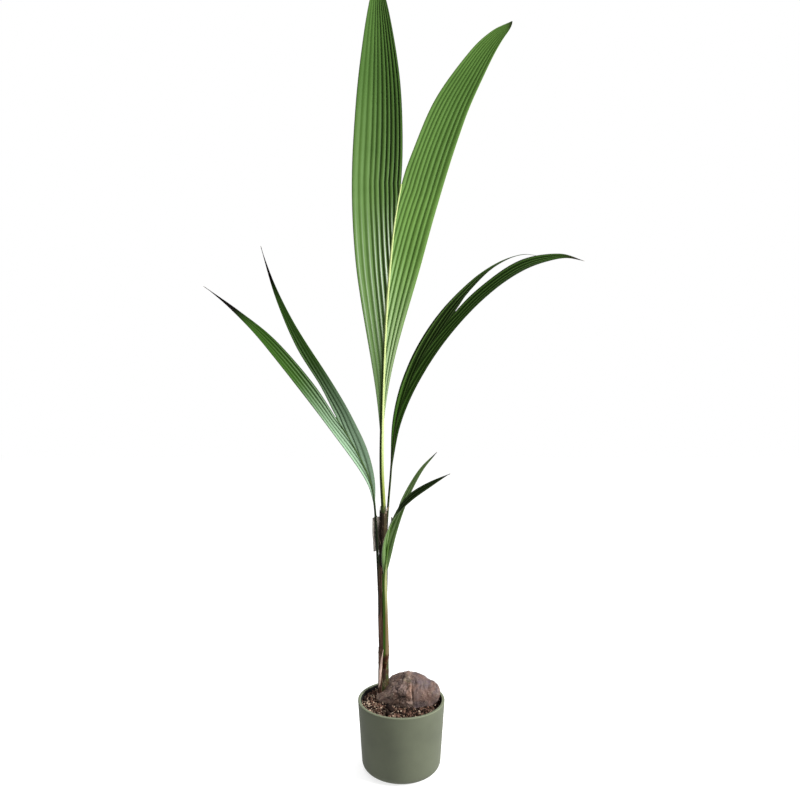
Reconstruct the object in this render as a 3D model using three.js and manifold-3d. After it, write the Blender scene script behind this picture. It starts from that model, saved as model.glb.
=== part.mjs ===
// A young coconut palm in a round pot: a sprouted nut lying in potting mix, a stem of leaf
// sheaths, and four leaves, each forked at its tip into two pleated lobes.
// Millimetres, +Z up, the front of the plant faces -Y. The origin is the centre of the pot's
// flat underside.
import * as THREE from "three";
import { mergeVertices } from "three/addons/utils/BufferGeometryUtils.js";
import Module from "manifold-3d";

const wasm = await Module();
wasm.setup();

// ---- Driving dimensions ----

const GAP = 0.3; // left between touching pieces
const FRONT = new THREE.Vector3(0, -1, 0);

const POT = {
  height: 154,
  rimRadius: 100,
  shoulderRadius: 89, // where the side meets the rounded foot
  footRound: 17,
  wall: 7,
  floor: 9,
  rimRound: 1.6,
  innerRound: 14,
};
const POT_SIDES = 44;

const MIX = { edgeHeight: 139, middleHeight: 142, rings: 3 };

const NUT = {
  middle: new THREE.Vector3(13, 20, 149),
  halfLength: 73,
  halfDepth: 49,
  halfHeight: 57,
  pitch: 5, // degrees that the blunt end lies higher than the pointed one
  tipTaper: 1.25, // the end that the stem grows from is pointed
  backTaper: 0.83, // the other end is blunt
  ridge: 0.05, // how far the three blunt edges of the husk stand out
  ridgeTurn: 20, // degrees
};

const STEM = {
  path: [
    [-41, 30, 120],
    [-41, 30, 250],
    [-44, 30, 371],
    [-43, 30, 475],
    [-42.5, 30, 606],
  ],
  footRadius: 13.5,
  topRadius: 7.5,
  sides: 12,
  steps: 12,
};

// The half tube of woven fibre that stands behind the top of the stem.
const FIBRE_SHEATH = {
  axis: [-43, 30],
  radius: 23.5,
  thickness: 2,
  bottom: 484,
  top: 566,
  fromAngle: -22,
  toAngle: 205, // degrees from +X, round the back
};

// Each leaf has a stalk, which runs up through the blade as its midrib to the fork, and two
// lobes. A lobe's inner edge follows the stalk from point bladeFrom to the fork, then its own
// points to the tip. Its width grows and fades along that edge: "width" is the greatest,
// "fullest" is where along the edge, and the two powers shape the foot and the tip. "lift" is
// how far the outer edge is turned to the front, in degrees, at the foot and at the tip, and
// "hollow" is the depth of the blade's curve across, as a share of its width.
const LEAVES = {
  upright: {
    stalk: [
      [-42, 29, 590],
      [-46, 26, 678],
      [-45, 24, 795],
      [-39, 20, 971],
      [-29, 17, 1122],
      [-16, 14, 1250],
      [0, 12, 1344],
    ],
    stalkRadius: [5.6, 1.8],
    bladeFrom: 1,
    lobes: {
      left: {
        side: -1,
        edge: [
          [4, 16, 1462],
          [-3, 30, 1604],
          [-27, 48, 1760],
          [-55, 70, 1879],
        ],
        width: 119,
        fullest: 0.6,
        powers: [2.1, 0.8],
        lift: [25, 12],
        hollow: -0.1,
      },
      right: {
        side: 1,
        edge: [
          [27, 8, 1423],
          [78, 0, 1537],
          [153, -12, 1637],
          [204, -18, 1683],
          [252, -22, 1705],
        ],
        width: 100,
        fullest: 0.61,
        powers: [2.5, 0.6],
        lift: [-15, -28],
        hollow: -0.08,
      },
    },
  },
  left: {
    stalk: [
      [-50, 22, 360],
      [-55, 16, 469],
      [-61, 10, 586],
      [-69, 2, 646],
      [-88, -8, 695],
      [-117, -18, 751],
      [-148, -28, 803],
    ],
    stalkRadius: [3.6, 1.2],
    bladeFrom: 2,
    lobes: {
      outer: {
        side: -1,
        edge: [
          [-197, -52, 881],
          [-274, -84, 973],
          [-345, -112, 1032],
          [-414, -140, 1081],
        ],
        width: 37,
        fullest: 0.58,
        powers: [1.25, 1.35],
        lift: [20, 50],
        hollow: -0.12,
      },
      inner: {
        side: 1,
        edge: [
          [-184, -34, 874],
          [-238, -40, 963],
          [-284, -44, 1074],
          [-316, -46, 1186],
        ],
        width: 33,
        fullest: 0.33,
        powers: [1.55, 1.2],
        lift: [20, 10],
        hollow: -0.12,
      },
    },
  },
  right: {
    stalk: [
      [-35, 36, 535],
      [-31, 38, 594],
      [-26, 40, 653],
      [-20, 42, 723],
      [-5, 46, 813],
      [47, 52, 937],
      [130, 60, 1055],
    ],
    stalkRadius: [2.8, 1.2],
    bladeFrom: 2,
    lobes: {
      lower: {
        side: 1,
        edge: [
          [205, 52, 1126],
          [284, 36, 1174],
          [368, 18, 1184],
          [424, 4, 1164],
        ],
        width: 40,
        fullest: 0.84,
        powers: [1.2, 1.15],
        lift: [30, 55],
        hollow: -0.14,
      },
      upper: {
        side: -1,
        edge: [
          [161, 82, 1100],
          [211, 100, 1154],
          [252, 120, 1185],
          [308, 140, 1209],
          [376, 150, 1200],
        ],
        width: 33,
        fullest: 0.55,
        powers: [1.6, 2.5],
        lift: [20, -60],
        hollow: -0.14,
      },
    },
  },
  small: {
    stalk: [
      [-36, 17, 248],
      [-37, 15, 354],
      [-38, 9, 429],
      [-32, -2, 496],
      [-24, -14, 549],
      [-10, -28, 591],
    ],
    stalkRadius: [7, 1.4],
    bladeFrom: 2,
    lobes: {
      back: {
        side: 1,
        edge: [
          [0, -34, 620],
          [22, -46, 662],
          [45, -58, 696],
          [77, -72, 728],
        ],
        width: 15,
        fullest: 0.4,
        powers: [0.9, 0.7],
        lift: [15, 10],
        hollow: -0.1,
      },
      front: {
        side: -1,
        edge: [
          [1, -42, 613],
          [26, -56, 640],
          [63, -76, 664],
          [105, -98, 684],
        ],
        width: 25,
        fullest: 0.55,
        powers: [0.8, 1.1],
        lift: [10, 175],
        hollow: -0.1,
      },
    },
  },
};

// The dry, pointed scrap of an old sheath on the foot of the stem.
const TORN_SHEATH = {
  side: 1,
  edge: [
    [-54, 16, 172],
    [-53, 15, 200],
    [-49, 14, 232],
    [-43, 11, 262],
  ],
  width: 9,
  fullest: 0.3,
  powers: [0.5, 0.9],
  lift: [18, 8],
  hollow: 0.15,
};

const BLADE = { thickness: 2.4, edgeShare: 0.4, along: 20, across: 4, leastWidth: 1.2 };
const STALK = { sides: 8, stepsPerPoint: 3 };
const SEAM = 0.8; // how far a lobe's inner edge stays off the line of the midrib

// ---- Solids ----

function solidFrom(geometry) {
  const bare = geometry.clone();
  bare.deleteAttribute("normal");
  bare.deleteAttribute("uv");
  const merged = mergeVertices(bare, 1e-3);
  const triVerts = new Uint32Array(merged.index.array);
  const vertProperties = merged.attributes.position.array;
  const made = new wasm.Manifold(new wasm.Mesh({ numProp: 3, vertProperties, triVerts }));
  if (made.volume() > 0) {
    return made;
  }
  triVerts.reverse();
  return new wasm.Manifold(new wasm.Mesh({ numProp: 3, vertProperties, triVerts }));
}

function geometryFrom(solid) {
  const mesh = solid.getMesh();
  const geometry = new THREE.BufferGeometry();
  geometry.setAttribute("position", new THREE.BufferAttribute(mesh.vertProperties, 3));
  geometry.setIndex(new THREE.BufferAttribute(mesh.triVerts, 1));
  geometry.computeVertexNormals();
  return geometry;
}

// A cut solid without the slivers that the cut leaves at its thin end.
function largestPiece(solid) {
  return solid.decompose().reduce((best, piece) => (piece.volume() > best.volume() ? piece : best));
}

function deform(geometry, place) {
  const positions = geometry.attributes.position;
  const point = new THREE.Vector3();
  for (let i = 0; i < positions.count; i++) {
    point.fromBufferAttribute(positions, i);
    const moved = place(point);
    positions.setXYZ(i, moved.x, moved.y, moved.z);
  }
  return geometry;
}

function curveThrough(points) {
  const vectors = points.map((p) => new THREE.Vector3(...p));
  return new THREE.CatmullRomCurve3(vectors, false, "catmullrom", 0.5);
}

// The frame at a share t of a curve: tangent, the direction to its right as seen from the
// front, and the direction to the front.
function frameAt(curve, t) {
  const at = curve.getPointAt(t);
  const tangent = curve.getTangentAt(t);
  const right = new THREE.Vector3().crossVectors(tangent, FRONT).normalize();
  const forward = new THREE.Vector3().crossVectors(right, tangent);
  return { at, tangent, right, forward };
}

// ---- Pot, mix, nut ----

function potProfile() {
  const { height, rimRadius, shoulderRadius, footRound, wall, floor, rimRound, innerRound } = POT;
  const inner = rimRadius - wall;
  const innerFoot = shoulderRadius - wall;
  const outline = new THREE.Path();
  outline.moveTo(0, 0);
  outline.lineTo(shoulderRadius - footRound, 0);
  outline.quadraticCurveTo(shoulderRadius - 1, 0, shoulderRadius, footRound);
  outline.lineTo(rimRadius, height - rimRound);
  outline.quadraticCurveTo(rimRadius, height, rimRadius - rimRound, height);
  outline.lineTo(inner + rimRound, height);
  outline.quadraticCurveTo(inner, height, inner, height - rimRound);
  outline.lineTo(innerFoot, floor + innerRound);
  outline.quadraticCurveTo(innerFoot, floor, innerFoot - innerRound, floor);
  outline.lineTo(0, floor);
  return outline.getPoints(3);
}

function turnedUpright(profile, sides) {
  return new THREE.LatheGeometry(profile, sides).rotateX(Math.PI / 2);
}

function potSolid() {
  return solidFrom(turnedUpright(potProfile(), POT_SIDES));
}

// The radius of the pot's inner wall at a height above the rounded inside corner.
function innerRadiusAt(height) {
  const low = POT.floor + POT.innerRound;
  const share = (height - low) / (POT.height - POT.rimRound - low);
  return POT.shoulderRadius - POT.wall + share * (POT.rimRadius - POT.shoulderRadius);
}

function mixSolid(cutters) {
  const bottom = POT.floor + GAP;
  const low = POT.floor + POT.innerRound;
  const clear = 1.2 * GAP; // the pot's many-sided wall is a little nearer than its circle
  const profile = [
    new THREE.Vector2(0, bottom),
    new THREE.Vector2(innerRadiusAt(low) - POT.innerRound, bottom),
    new THREE.Vector2(innerRadiusAt(low) - POT.innerRound / 3 - clear, bottom + POT.innerRound / 3),
    new THREE.Vector2(innerRadiusAt(low) - clear, low),
    new THREE.Vector2(innerRadiusAt(MIX.edgeHeight) - clear, MIX.edgeHeight),
  ];
  for (let ring = MIX.rings - 1; ring >= 0; ring--) {
    const share = ring / MIX.rings;
    const rise = (MIX.middleHeight - MIX.edgeHeight) * (1 - share * share);
    profile.push(new THREE.Vector2(share * innerRadiusAt(MIX.edgeHeight), MIX.edgeHeight + rise));
  }
  let solid = solidFrom(turnedUpright(profile, POT_SIDES));
  for (const cutter of cutters) {
    solid = solid.subtract(cutter);
  }
  return solid;
}

function nutSolid(grow) {
  const shape = new THREE.SphereGeometry(1, 22, 13).rotateZ(Math.PI / 2);
  const turn = THREE.MathUtils.degToRad(NUT.ridgeTurn);
  deform(shape, ({ x, y, z }) => {
    const round = Math.hypot(y, z);
    const around = Math.atan2(z, y);
    const taper = x < 0 ? NUT.tipTaper : NUT.backTaper;
    const girth = Math.pow(round, taper) * (1 + NUT.ridge * Math.cos(3 * (around - turn)));
    return new THREE.Vector3(
      x * (NUT.halfLength + grow),
      Math.cos(around) * girth * (NUT.halfDepth + grow),
      Math.sin(around) * girth * (NUT.halfHeight + grow),
    );
  });
  shape.rotateY(-THREE.MathUtils.degToRad(NUT.pitch));
  return solidFrom(shape.translate(...NUT.middle));
}

// ---- Stem, stalks, blades ----

function limbSolid(points, radii, sides, steps, grow) {
  const curve = curveThrough(points);
  const shape = new THREE.CylinderGeometry(1, 1, 1, sides, steps);
  deform(shape, ({ x, y, z }) => {
    const t = y + 0.5;
    const { at, right, forward } = frameAt(curve, t);
    const radius = THREE.MathUtils.lerp(radii[0], radii[1], t) + grow;
    return at.addScaledVector(right, x * radius).addScaledVector(forward, z * radius);
  });
  return solidFrom(shape);
}

function stemSolid(grow) {
  const { path, footRadius, topRadius, sides, steps } = STEM;
  return limbSolid(path, [footRadius, topRadius], sides, steps, grow);
}

function stalkSolid(leaf, grow) {
  const steps = (leaf.stalk.length - 1) * STALK.stepsPerPoint;
  return limbSolid(leaf.stalk, leaf.stalkRadius, STALK.sides, steps, grow);
}

// The width of a blade at a share t of its edge.
function widthAt(lobe, t) {
  const foot = t < lobe.fullest;
  const away = foot ? (lobe.fullest - t) / lobe.fullest : (t - lobe.fullest) / (1 - lobe.fullest);
  const power = foot ? lobe.powers[0] : lobe.powers[1];
  const full = Math.pow(Math.max(Math.cos((away * Math.PI) / 2), 0), power);
  return Math.max(lobe.width * full, BLADE.leastWidth);
}

function bladeSolid(points, lobe) {
  const curve = curveThrough(points);
  const shape = new THREE.BoxGeometry(1, 1, 1, BLADE.across, 1, BLADE.along);
  deform(shape, ({ x, y, z }) => {
    const t = z + 0.5;
    const across = x + 0.5;
    const { at, tangent, right, forward } = frameAt(curve, t);
    const lift = THREE.MathUtils.degToRad(THREE.MathUtils.lerp(lobe.lift[0], lobe.lift[1], t));
    const outward = right.multiplyScalar(lobe.side * Math.cos(lift));
    outward.addScaledVector(forward, Math.sin(lift));
    const facing = new THREE.Vector3().crossVectors(outward, tangent).multiplyScalar(lobe.side);
    const width = widthAt(lobe, t);
    const arch = 4 * across * (1 - across);
    const thickness = BLADE.thickness * (BLADE.edgeShare + (1 - BLADE.edgeShare) * arch);
    return at
      .addScaledVector(outward, SEAM + across * width)
      .addScaledVector(facing, lobe.hollow * width * arch + y * thickness);
  });
  return solidFrom(shape);
}

function fibreSheathSolid() {
  const { axis, radius, thickness, bottom, top, fromAngle, toAngle } = FIBRE_SHEATH;
  const start = THREE.MathUtils.degToRad(fromAngle);
  const end = THREE.MathUtils.degToRad(toAngle);
  const outline = new THREE.Shape();
  outline.absarc(axis[0], axis[1], radius, start, end, false);
  outline.absarc(axis[0], axis[1], radius - thickness, end, start, true);
  outline.closePath();
  const options = { depth: top - bottom, bevelEnabled: false, curveSegments: 14, steps: 1 };
  return solidFrom(new THREE.ExtrudeGeometry(outline, options).translate(0, 0, bottom));
}

// ---- Scene graph ----

const LOOKS = {
  pot: { color: "#6f7562", roughness: 0.75, metalness: 0 },
  mix: { color: "#44342d", roughness: 1, metalness: 0 },
  nut: { color: "#74605a", roughness: 0.95, metalness: 0 },
  stem: { color: "#584132", roughness: 0.85, metalness: 0 },
  fibre: { color: "#8a7f74", roughness: 1, metalness: 0 },
  scrap: { color: "#b89c90", roughness: 0.9, metalness: 0 },
  stalk: { color: "#93ad55", roughness: 0.5, metalness: 0 },
  upright: { color: "#65874a", roughness: 0.5, metalness: 0 },
  left: { color: "#425d2a", roughness: 0.5, metalness: 0 },
  right: { color: "#344720", roughness: 0.5, metalness: 0 },
  small: { color: "#6f8758", roughness: 0.5, metalness: 0 },
};

const palm = new THREE.Group();

function addNode(name, solid, look) {
  const mesh = new THREE.Mesh(geometryFrom(solid), new THREE.MeshStandardMaterial(LOOKS[look]));
  mesh.name = name;
  palm.add(mesh);
}

const stemCutter = stemSolid(GAP);

addNode("pot", potSolid(), "pot");
addNode("potting_mix", mixSolid([nutSolid(GAP), stemCutter]), "mix");
addNode("nut", nutSolid(0).subtract(stemCutter), "nut");
addNode("stem", stemSolid(0), "stem");
addNode("fibre_sheath", fibreSheathSolid(), "fibre");
addNode("torn_sheath", bladeSolid(TORN_SHEATH.edge, TORN_SHEATH).subtract(stemCutter), "scrap");

for (const [leafName, leaf] of Object.entries(LEAVES)) {
  const stalkCutter = stalkSolid(leaf, GAP);
  addNode(leafName + "_stalk", largestPiece(stalkSolid(leaf, 0).subtract(stemCutter)), "stalk");
  for (const [lobeName, lobe] of Object.entries(leaf.lobes)) {
    const points = leaf.stalk.slice(leaf.bladeFrom).concat(lobe.edge);
    const blade = bladeSolid(points, lobe).subtract(stalkCutter).subtract(stemCutter);
    addNode(leafName + "_" + lobeName + "_lobe", largestPiece(blade), leafName);
  }
}

export default palm;
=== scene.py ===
"""Builds the looks of a young coconut palm in a round pot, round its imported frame.

Metres, +Z up. The front of the plant faces -Y, and the origin is the centre of the pot's
flat underside. The tables of sizes are in millimetres.
"""

import math
import random
from bisect import bisect_left
from itertools import accumulate

import bmesh
import bpy
from bpy.props import FloatProperty, FloatVectorProperty, IntProperty, PointerProperty
from mathutils import Matrix, Vector, noise


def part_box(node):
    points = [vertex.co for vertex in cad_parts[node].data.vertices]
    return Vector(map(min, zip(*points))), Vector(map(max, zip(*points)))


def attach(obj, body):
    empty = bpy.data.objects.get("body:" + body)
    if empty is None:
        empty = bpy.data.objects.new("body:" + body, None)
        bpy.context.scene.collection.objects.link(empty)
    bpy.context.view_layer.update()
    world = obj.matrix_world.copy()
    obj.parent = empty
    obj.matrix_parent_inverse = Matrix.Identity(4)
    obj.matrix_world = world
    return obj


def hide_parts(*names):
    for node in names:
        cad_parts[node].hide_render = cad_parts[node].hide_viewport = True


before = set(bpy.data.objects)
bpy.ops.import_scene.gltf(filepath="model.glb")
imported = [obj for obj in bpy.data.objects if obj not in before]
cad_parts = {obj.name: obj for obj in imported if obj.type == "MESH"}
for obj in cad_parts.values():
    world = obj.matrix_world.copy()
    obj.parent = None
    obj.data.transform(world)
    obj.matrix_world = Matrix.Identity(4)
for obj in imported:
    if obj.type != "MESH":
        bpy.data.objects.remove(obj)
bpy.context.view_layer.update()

POT_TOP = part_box("pot")[1]

bl_info = {
    "name": "Young coconut palm",
    "version": (1, 0, 0),
    "blender": (4, 5, 0),
    "location": "View3D > Sidebar > Palm",
    "description": "Builds a potted coconut seedling with pleated leaves",
    "category": "Object",
}

MM = 0.001
TAU = 2 * math.pi
FRONT = Vector((0, -1, 0))
MERGE = 1e-6
UV_NAME = "surface"
RELIEF_NAME = "relief"

# ---- Shapes ----

POT = {"shoulder": 89, "foot_round": 17, "wall": 7, "floor": 9, "rim_round": 1.6, "inner_round": 14}
# The mix: its heights at the wall and in the middle, how much wider it is than the pot's
# inner foot, and the outline of its lower part as (radius, height).
MIX = {"edge": 139, "middle": 142, "widening": 9.6, "foot": [(0, 9.5), (64, 9.5), (80, 26)]}
CRUMB_REACH, STRAND_REACH = 93, 92  # how far out the loose pieces may lie
NUT = {
    "middle": (13, 20, 149),
    "half": (73, 49, 57),
    "pitch": 5,
    "tip_lift": 12,
    "tip_taper": 1.25,
    "back_taper": 0.83,
    "ridge": 0.05,
    "ridge_turn": 20,
    "seam": 0.16,
    "seam_ridge": 2.6,
    "seam_crevice": 3.4,
    "crack": 3.6,
    "swelling": 8.5,
    "collar": 1.8,
}
# Flat places on the husk: which way each faces, and how far it lies from the nut's middle.
NUT_FACETS = [
    ((-0.38, -0.85, 0.05), 42),
    ((-0.2, -0.55, 0.8), 46),
    ((-0.62, -0.2, 0.75), 40),
    ((0.2, -0.95, -0.2), 47),
    ((0.6, 0.55, 0.6), 55),
]
CRACK_TURN = math.radians(161)
KNOB = Vector((0.92, -0.25, 0.24))  # where the stalk scar is, on a unit ball
STEM_PATH = [(-41, 30, 120), (-41, 30, 250), (-44, 30, 371), (-43, 30, 475), (-42.5, 30, 592)]
STEM_RADIUS = (13.5, 7.5)
FIBRE = {"axis": (-43, 30), "radius": 23.5, "bottom": 484, "top": 566, "angles": (-22, 205)}
TORN = {
    "side": 1,
    "edge": [(-54, 16, 172), (-53, 15, 200), (-49, 14, 232), (-43, 11, 262)],
    "width": 6.5,
    "fullest": 0.3,
    "powers": (0.5, 0.9),
    "lift": (18, 8),
    "hollow": 0.15,
}

# A stalk runs up through its leaf as the midrib, to the fork. A lobe's inner edge follows it
# from point blade_from, and then its own points to the tip.
LEAVES = {
    "upright": {
        "root": (-41, 30, 520),
        "stalk": [
            (-42, 29, 590),
            (-46, 26, 678),
            (-45, 24, 795),
            (-39, 20, 971),
            (-29, 17, 1122),
            (-16, 14, 1250),
            (0, 12, 1344),
        ],
        "radius": (5.6, 1.8),
        "blade_from": 1,
        "lobes": {
            "left": {
                "side": -1,
                "edge": [(4, 16, 1462), (-3, 30, 1604), (-27, 48, 1760), (-55, 70, 1879)],
                "width": 119,
                "fullest": 0.6,
                "powers": (2.1, 0.8),
                "lift": (25, 12),
                "hollow": -0.1,
                "pleats": 10,
                "narrowing": 0.45,
                "folds": (0.42, 0.13),
            },
            "right": {
                "side": 1,
                "edge": [
                    (27, 8, 1423),
                    (78, 0, 1537),
                    (153, -12, 1637),
                    (204, -18, 1683),
                    (252, -22, 1705),
                ],
                "width": 100,
                "fullest": 0.61,
                "powers": (2.5, 0.6),
                "lift": (-15, -28),
                "hollow": -0.08,
                "pleats": 9,
                "narrowing": 0.8,
                "folds": (0.22, 0.24),
            },
        },
    },
    "left": {
        "root": (-47, 28, 300),
        "stalk": [
            (-50, 22, 360),
            (-55, 16, 469),
            (-61, 10, 586),
            (-69, 2, 646),
            (-88, -8, 695),
            (-117, -18, 751),
            (-148, -28, 803),
        ],
        "radius": (3.6, 1.2),
        "blade_from": 2,
        "lobes": {
            "outer": {
                "side": -1,
                "edge": [(-197, -52, 881), (-274, -84, 973), (-345, -112, 1032), (-414, -140, 1081)],
                "width": 37,
                "fullest": 0.58,
                "powers": (1.25, 1.35),
                "lift": (20, 50),
                "hollow": -0.12,
                "pleats": 5,
                "narrowing": 0.8,
                "folds": (0.25, 0.2),
            },
            "inner": {
                "side": 1,
                "edge": [(-184, -34, 874), (-238, -40, 963), (-284, -44, 1074), (-316, -46, 1186)],
                "width": 33,
                "fullest": 0.33,
                "powers": (1.55, 1.2),
                "lift": (20, 10),
                "hollow": -0.12,
                "pleats": 4,
                "narrowing": 0.8,
                "folds": (0.25, 0.2),
            },
        },
    },
    "right": {
        "root": (-38, 31, 470),
        "stalk": [
            (-35, 36, 535),
            (-31, 38, 594),
            (-26, 40, 653),
            (-20, 42, 723),
            (-5, 46, 813),
            (47, 52, 937),
            (130, 60, 1055),
        ],
        "radius": (2.8, 1.2),
        "blade_from": 2,
        "lobes": {
            "lower": {
                "side": 1,
                "edge": [(205, 52, 1126), (284, 36, 1174), (368, 18, 1184), (424, 4, 1164)],
                "width": 40,
                "fullest": 0.84,
                "powers": (1.2, 1.15),
                "lift": (30, 55),
                "hollow": -0.14,
                "pleats": 5,
                "narrowing": 0.8,
                "folds": (0.28, 0.22),
            },
            "upper": {
                "side": -1,
                "edge": [
                    (161, 82, 1100),
                    (211, 100, 1154),
                    (252, 120, 1185),
                    (308, 140, 1209),
                    (376, 150, 1200),
                ],
                "width": 33,
                "fullest": 0.55,
                "powers": (1.6, 2.5),
                "lift": (20, -60),
                "hollow": -0.14,
                "pleats": 4,
                "narrowing": 0.8,
                "folds": (0.28, 0.22),
            },
        },
    },
    "small": {
        "root": (-39, 22, 215),
        "stalk": [
            (-36, 17, 248),
            (-37, 15, 354),
            (-38, 9, 429),
            (-32, -2, 496),
            (-24, -14, 549),
            (-10, -28, 591),
        ],
        "radius": (7, 1.4),
        "blade_from": 2,
        "lobes": {
            "back": {
                "side": 1,
                "edge": [(0, -34, 620), (22, -46, 662), (45, -58, 696), (77, -72, 728)],
                "width": 15,
                "fullest": 0.4,
                "powers": (0.9, 0.7),
                "lift": (15, 10),
                "hollow": -0.1,
                "pleats": 3,
                "narrowing": 0.9,
                "folds": (0.2, 0.16),
            },
            "front": {
                "side": -1,
                "edge": [(1, -42, 613), (26, -56, 640), (63, -76, 664), (105, -98, 684)],
                "width": 25,
                "fullest": 0.55,
                "powers": (0.8, 1.1),
                "lift": (10, 175),
                "hollow": -0.1,
                "pleats": 3,
                "narrowing": 0.9,
                "folds": (0.2, 0.16),
            },
        },
    },
}

RIB_GAP = 0.8 * MM  # from the line of the midrib to a lobe's inner edge
LEAST_WIDTH = 1.2 * MM
SHEATH_THICKNESS = 0.7 * MM
PLEAT_COLUMNS = 6
BLADE_ROWS = 150

# The shares of the fibre net that still have their cloth, counted from its right end.
CLOTH_REACH = {"left": (0.42, 1.0), "right": (0.04, 0.26)}

# The old sheaths wrapped round the stem: bottom and top, the turn they start from and how far
# round they reach (0 is to the right, 90 to the front), and how far they stand off the stem.
WRAPS = [
    {"bottom": 128, "top": 250, "start": 108, "reach": 215, "off": 1.5, "ragged": 9},
    {"bottom": 240, "top": 452, "start": 94, "reach": 262, "off": 1.1, "ragged": 6},
    {"bottom": 436, "top": 577, "start": 12, "reach": 350, "off": 1.1, "ragged": 8},
]

# The stage: each lamp's name, place, size and share of the main light's power, then the camera,
# and how the light from all round falls off to the left, as the ends of a range of directions.
LAMPS = [("main_light", (2.9, -1.0, 2.1), 1.3, 1.0), ("top_light", (-0.4, 0.6, 3.6), 1.6, 0.15)]
CAMERA = {"place": (-0.003, -1.523, 0.842), "lens": 29.7, "sensor": 36.0, "clip": (0.05, 60.0)}
SIDE_LIGHT = {"From Min": -1.0, "From Max": 0.3, "To Min": 0.3, "To Max": 1.12}


# ---- Materials ----

def tone(code, gain=1.0):
    """A colour written as six hex digits, as linear red, green, blue and alpha."""
    parts = [int(code[i : i + 2], 16) / 255 for i in (0, 2, 4)]
    linear = [p / 12.92 if p <= 0.04045 else ((p + 0.055) / 1.055) ** 2.4 for p in parts]
    return tuple(min(p * gain, 1) for p in linear) + (1.0,)


class Value:
    """A number that varies over a surface. Arithmetic on it adds Math nodes."""

    def __init__(self, finish, socket):
        self.finish = finish
        self.socket = socket

    def math(self, operation, *others, first=None):
        """The Math node of an operation on this value, or on first and this value."""
        values = (self, *others) if first is None else (first, self)
        sockets = dict(enumerate(values))
        return self.finish.node("ShaderNodeMath", {"operation": operation}, sockets)

    def __add__(self, other):
        return self.math("ADD", other)

    __radd__ = __add__

    def __mul__(self, other):
        return self.math("MULTIPLY", other)

    __rmul__ = __mul__

    def __sub__(self, other):
        return self.math("SUBTRACT", other)

    def __rsub__(self, other):
        return self.math("SUBTRACT", first=other)

    def __truediv__(self, other):
        return self.math("DIVIDE", other)

    def __pow__(self, other):
        return self.math("POWER", other)

    def __abs__(self):
        return self.math("ABSOLUTE")

    def ramp(self, low, high):
        """0 up to low, 1 from high on, and smooth between them."""
        ends = {"From Min": low, "From Max": high, "Value": self}
        return self.finish.node("ShaderNodeMapRange", {"interpolation_type": "SMOOTHSTEP"}, ends)


class Finish:
    """A material with one Principled shader, and the ways to add nodes to it."""

    def __init__(self, name, roughness=0.6, gloss=0.3):
        self.material = bpy.data.materials.new(name)
        self.material.use_nodes = True
        self.tree = self.material.node_tree
        self.tree.nodes.clear()
        settings = {"Roughness": roughness, "Specular IOR Level": gloss}
        self.shader = self.node("ShaderNodeBsdfPrincipled", {}, settings)
        self.node("ShaderNodeOutputMaterial", {}, {"Surface": self.shader})
        self.material.diffuse_color = (0.5, 0.5, 0.5, 1)

    def node(self, kind, settings, inputs, output=0):
        """Adds a node, sets it up, then fills its sockets with numbers, colours or values."""
        made = self.tree.nodes.new(kind)
        for key, value in settings.items():
            setattr(made, key, value)
        for key, value in inputs.items():
            if isinstance(value, Value):
                self.tree.links.new(value.socket, made.inputs[key])
            else:
                made.inputs[key].default_value = value
        if not made.outputs:
            return None
        return Value(self, made.outputs[output])

    def feed(self, name, value):
        """Puts a value on one of the shader's sockets."""
        self.tree.links.new(value.socket, self.shader.socket.node.inputs[name])

    def mix(self, low, high, factor, blend="MIX"):
        """Mixes two colours by a value."""
        settings = {"data_type": "RGBA", "blend_type": blend}
        return self.node("ShaderNodeMix", settings, {0: factor, 6: low, 7: high}, 2)

    def surface(self):
        """How far across and along the piece's own surface, each from 0 to 1."""
        place = self.node("ShaderNodeUVMap", {"uv_map": UV_NAME}, {})
        split = self.node("ShaderNodeSeparateXYZ", {}, {0: place})
        return split, Value(self, split.socket.node.outputs[1])

    def join(self, x, y, z=0.0):
        """A place made of three values."""
        return self.node("ShaderNodeCombineXYZ", {}, {0: x, 1: y, 2: z})

    def place(self, scale=(1, 1, 1), centre=(0, 0, 0)):
        """The place on the object, stretched about a centre."""
        coords = self.node("ShaderNodeTexCoord", {}, {}, 3)
        shift = [-c * s for c, s in zip(centre, scale)]
        return self.node("ShaderNodeMapping", {}, {0: coords, 1: shift, 3: scale})

    def cloud(self, where, scale, detail=3.0, roughness=0.5, distortion=0.0):
        """A soft random pattern between 0 and 1."""
        inputs = {"Vector": where, "Scale": scale, "Detail": detail}
        inputs |= {"Roughness": roughness, "Distortion": distortion}
        return self.node("ShaderNodeTexNoise", {}, inputs)

    def cells(self, where, scale):
        """The distance from scattered points."""
        return self.node("ShaderNodeTexVoronoi", {}, {"Vector": where, "Scale": scale})

    def axis(self, where, number):
        """One of the three numbers of a place."""
        return self.node("ShaderNodeSeparateXYZ", {}, {0: where}, number)

    def relief(self, height, distance, strength=1.0):
        """Makes a height into small relief on the surface."""
        inputs = {"Height": height, "Distance": distance, "Strength": strength}
        self.feed("Normal", self.node("ShaderNodeBump", {}, inputs))


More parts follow.
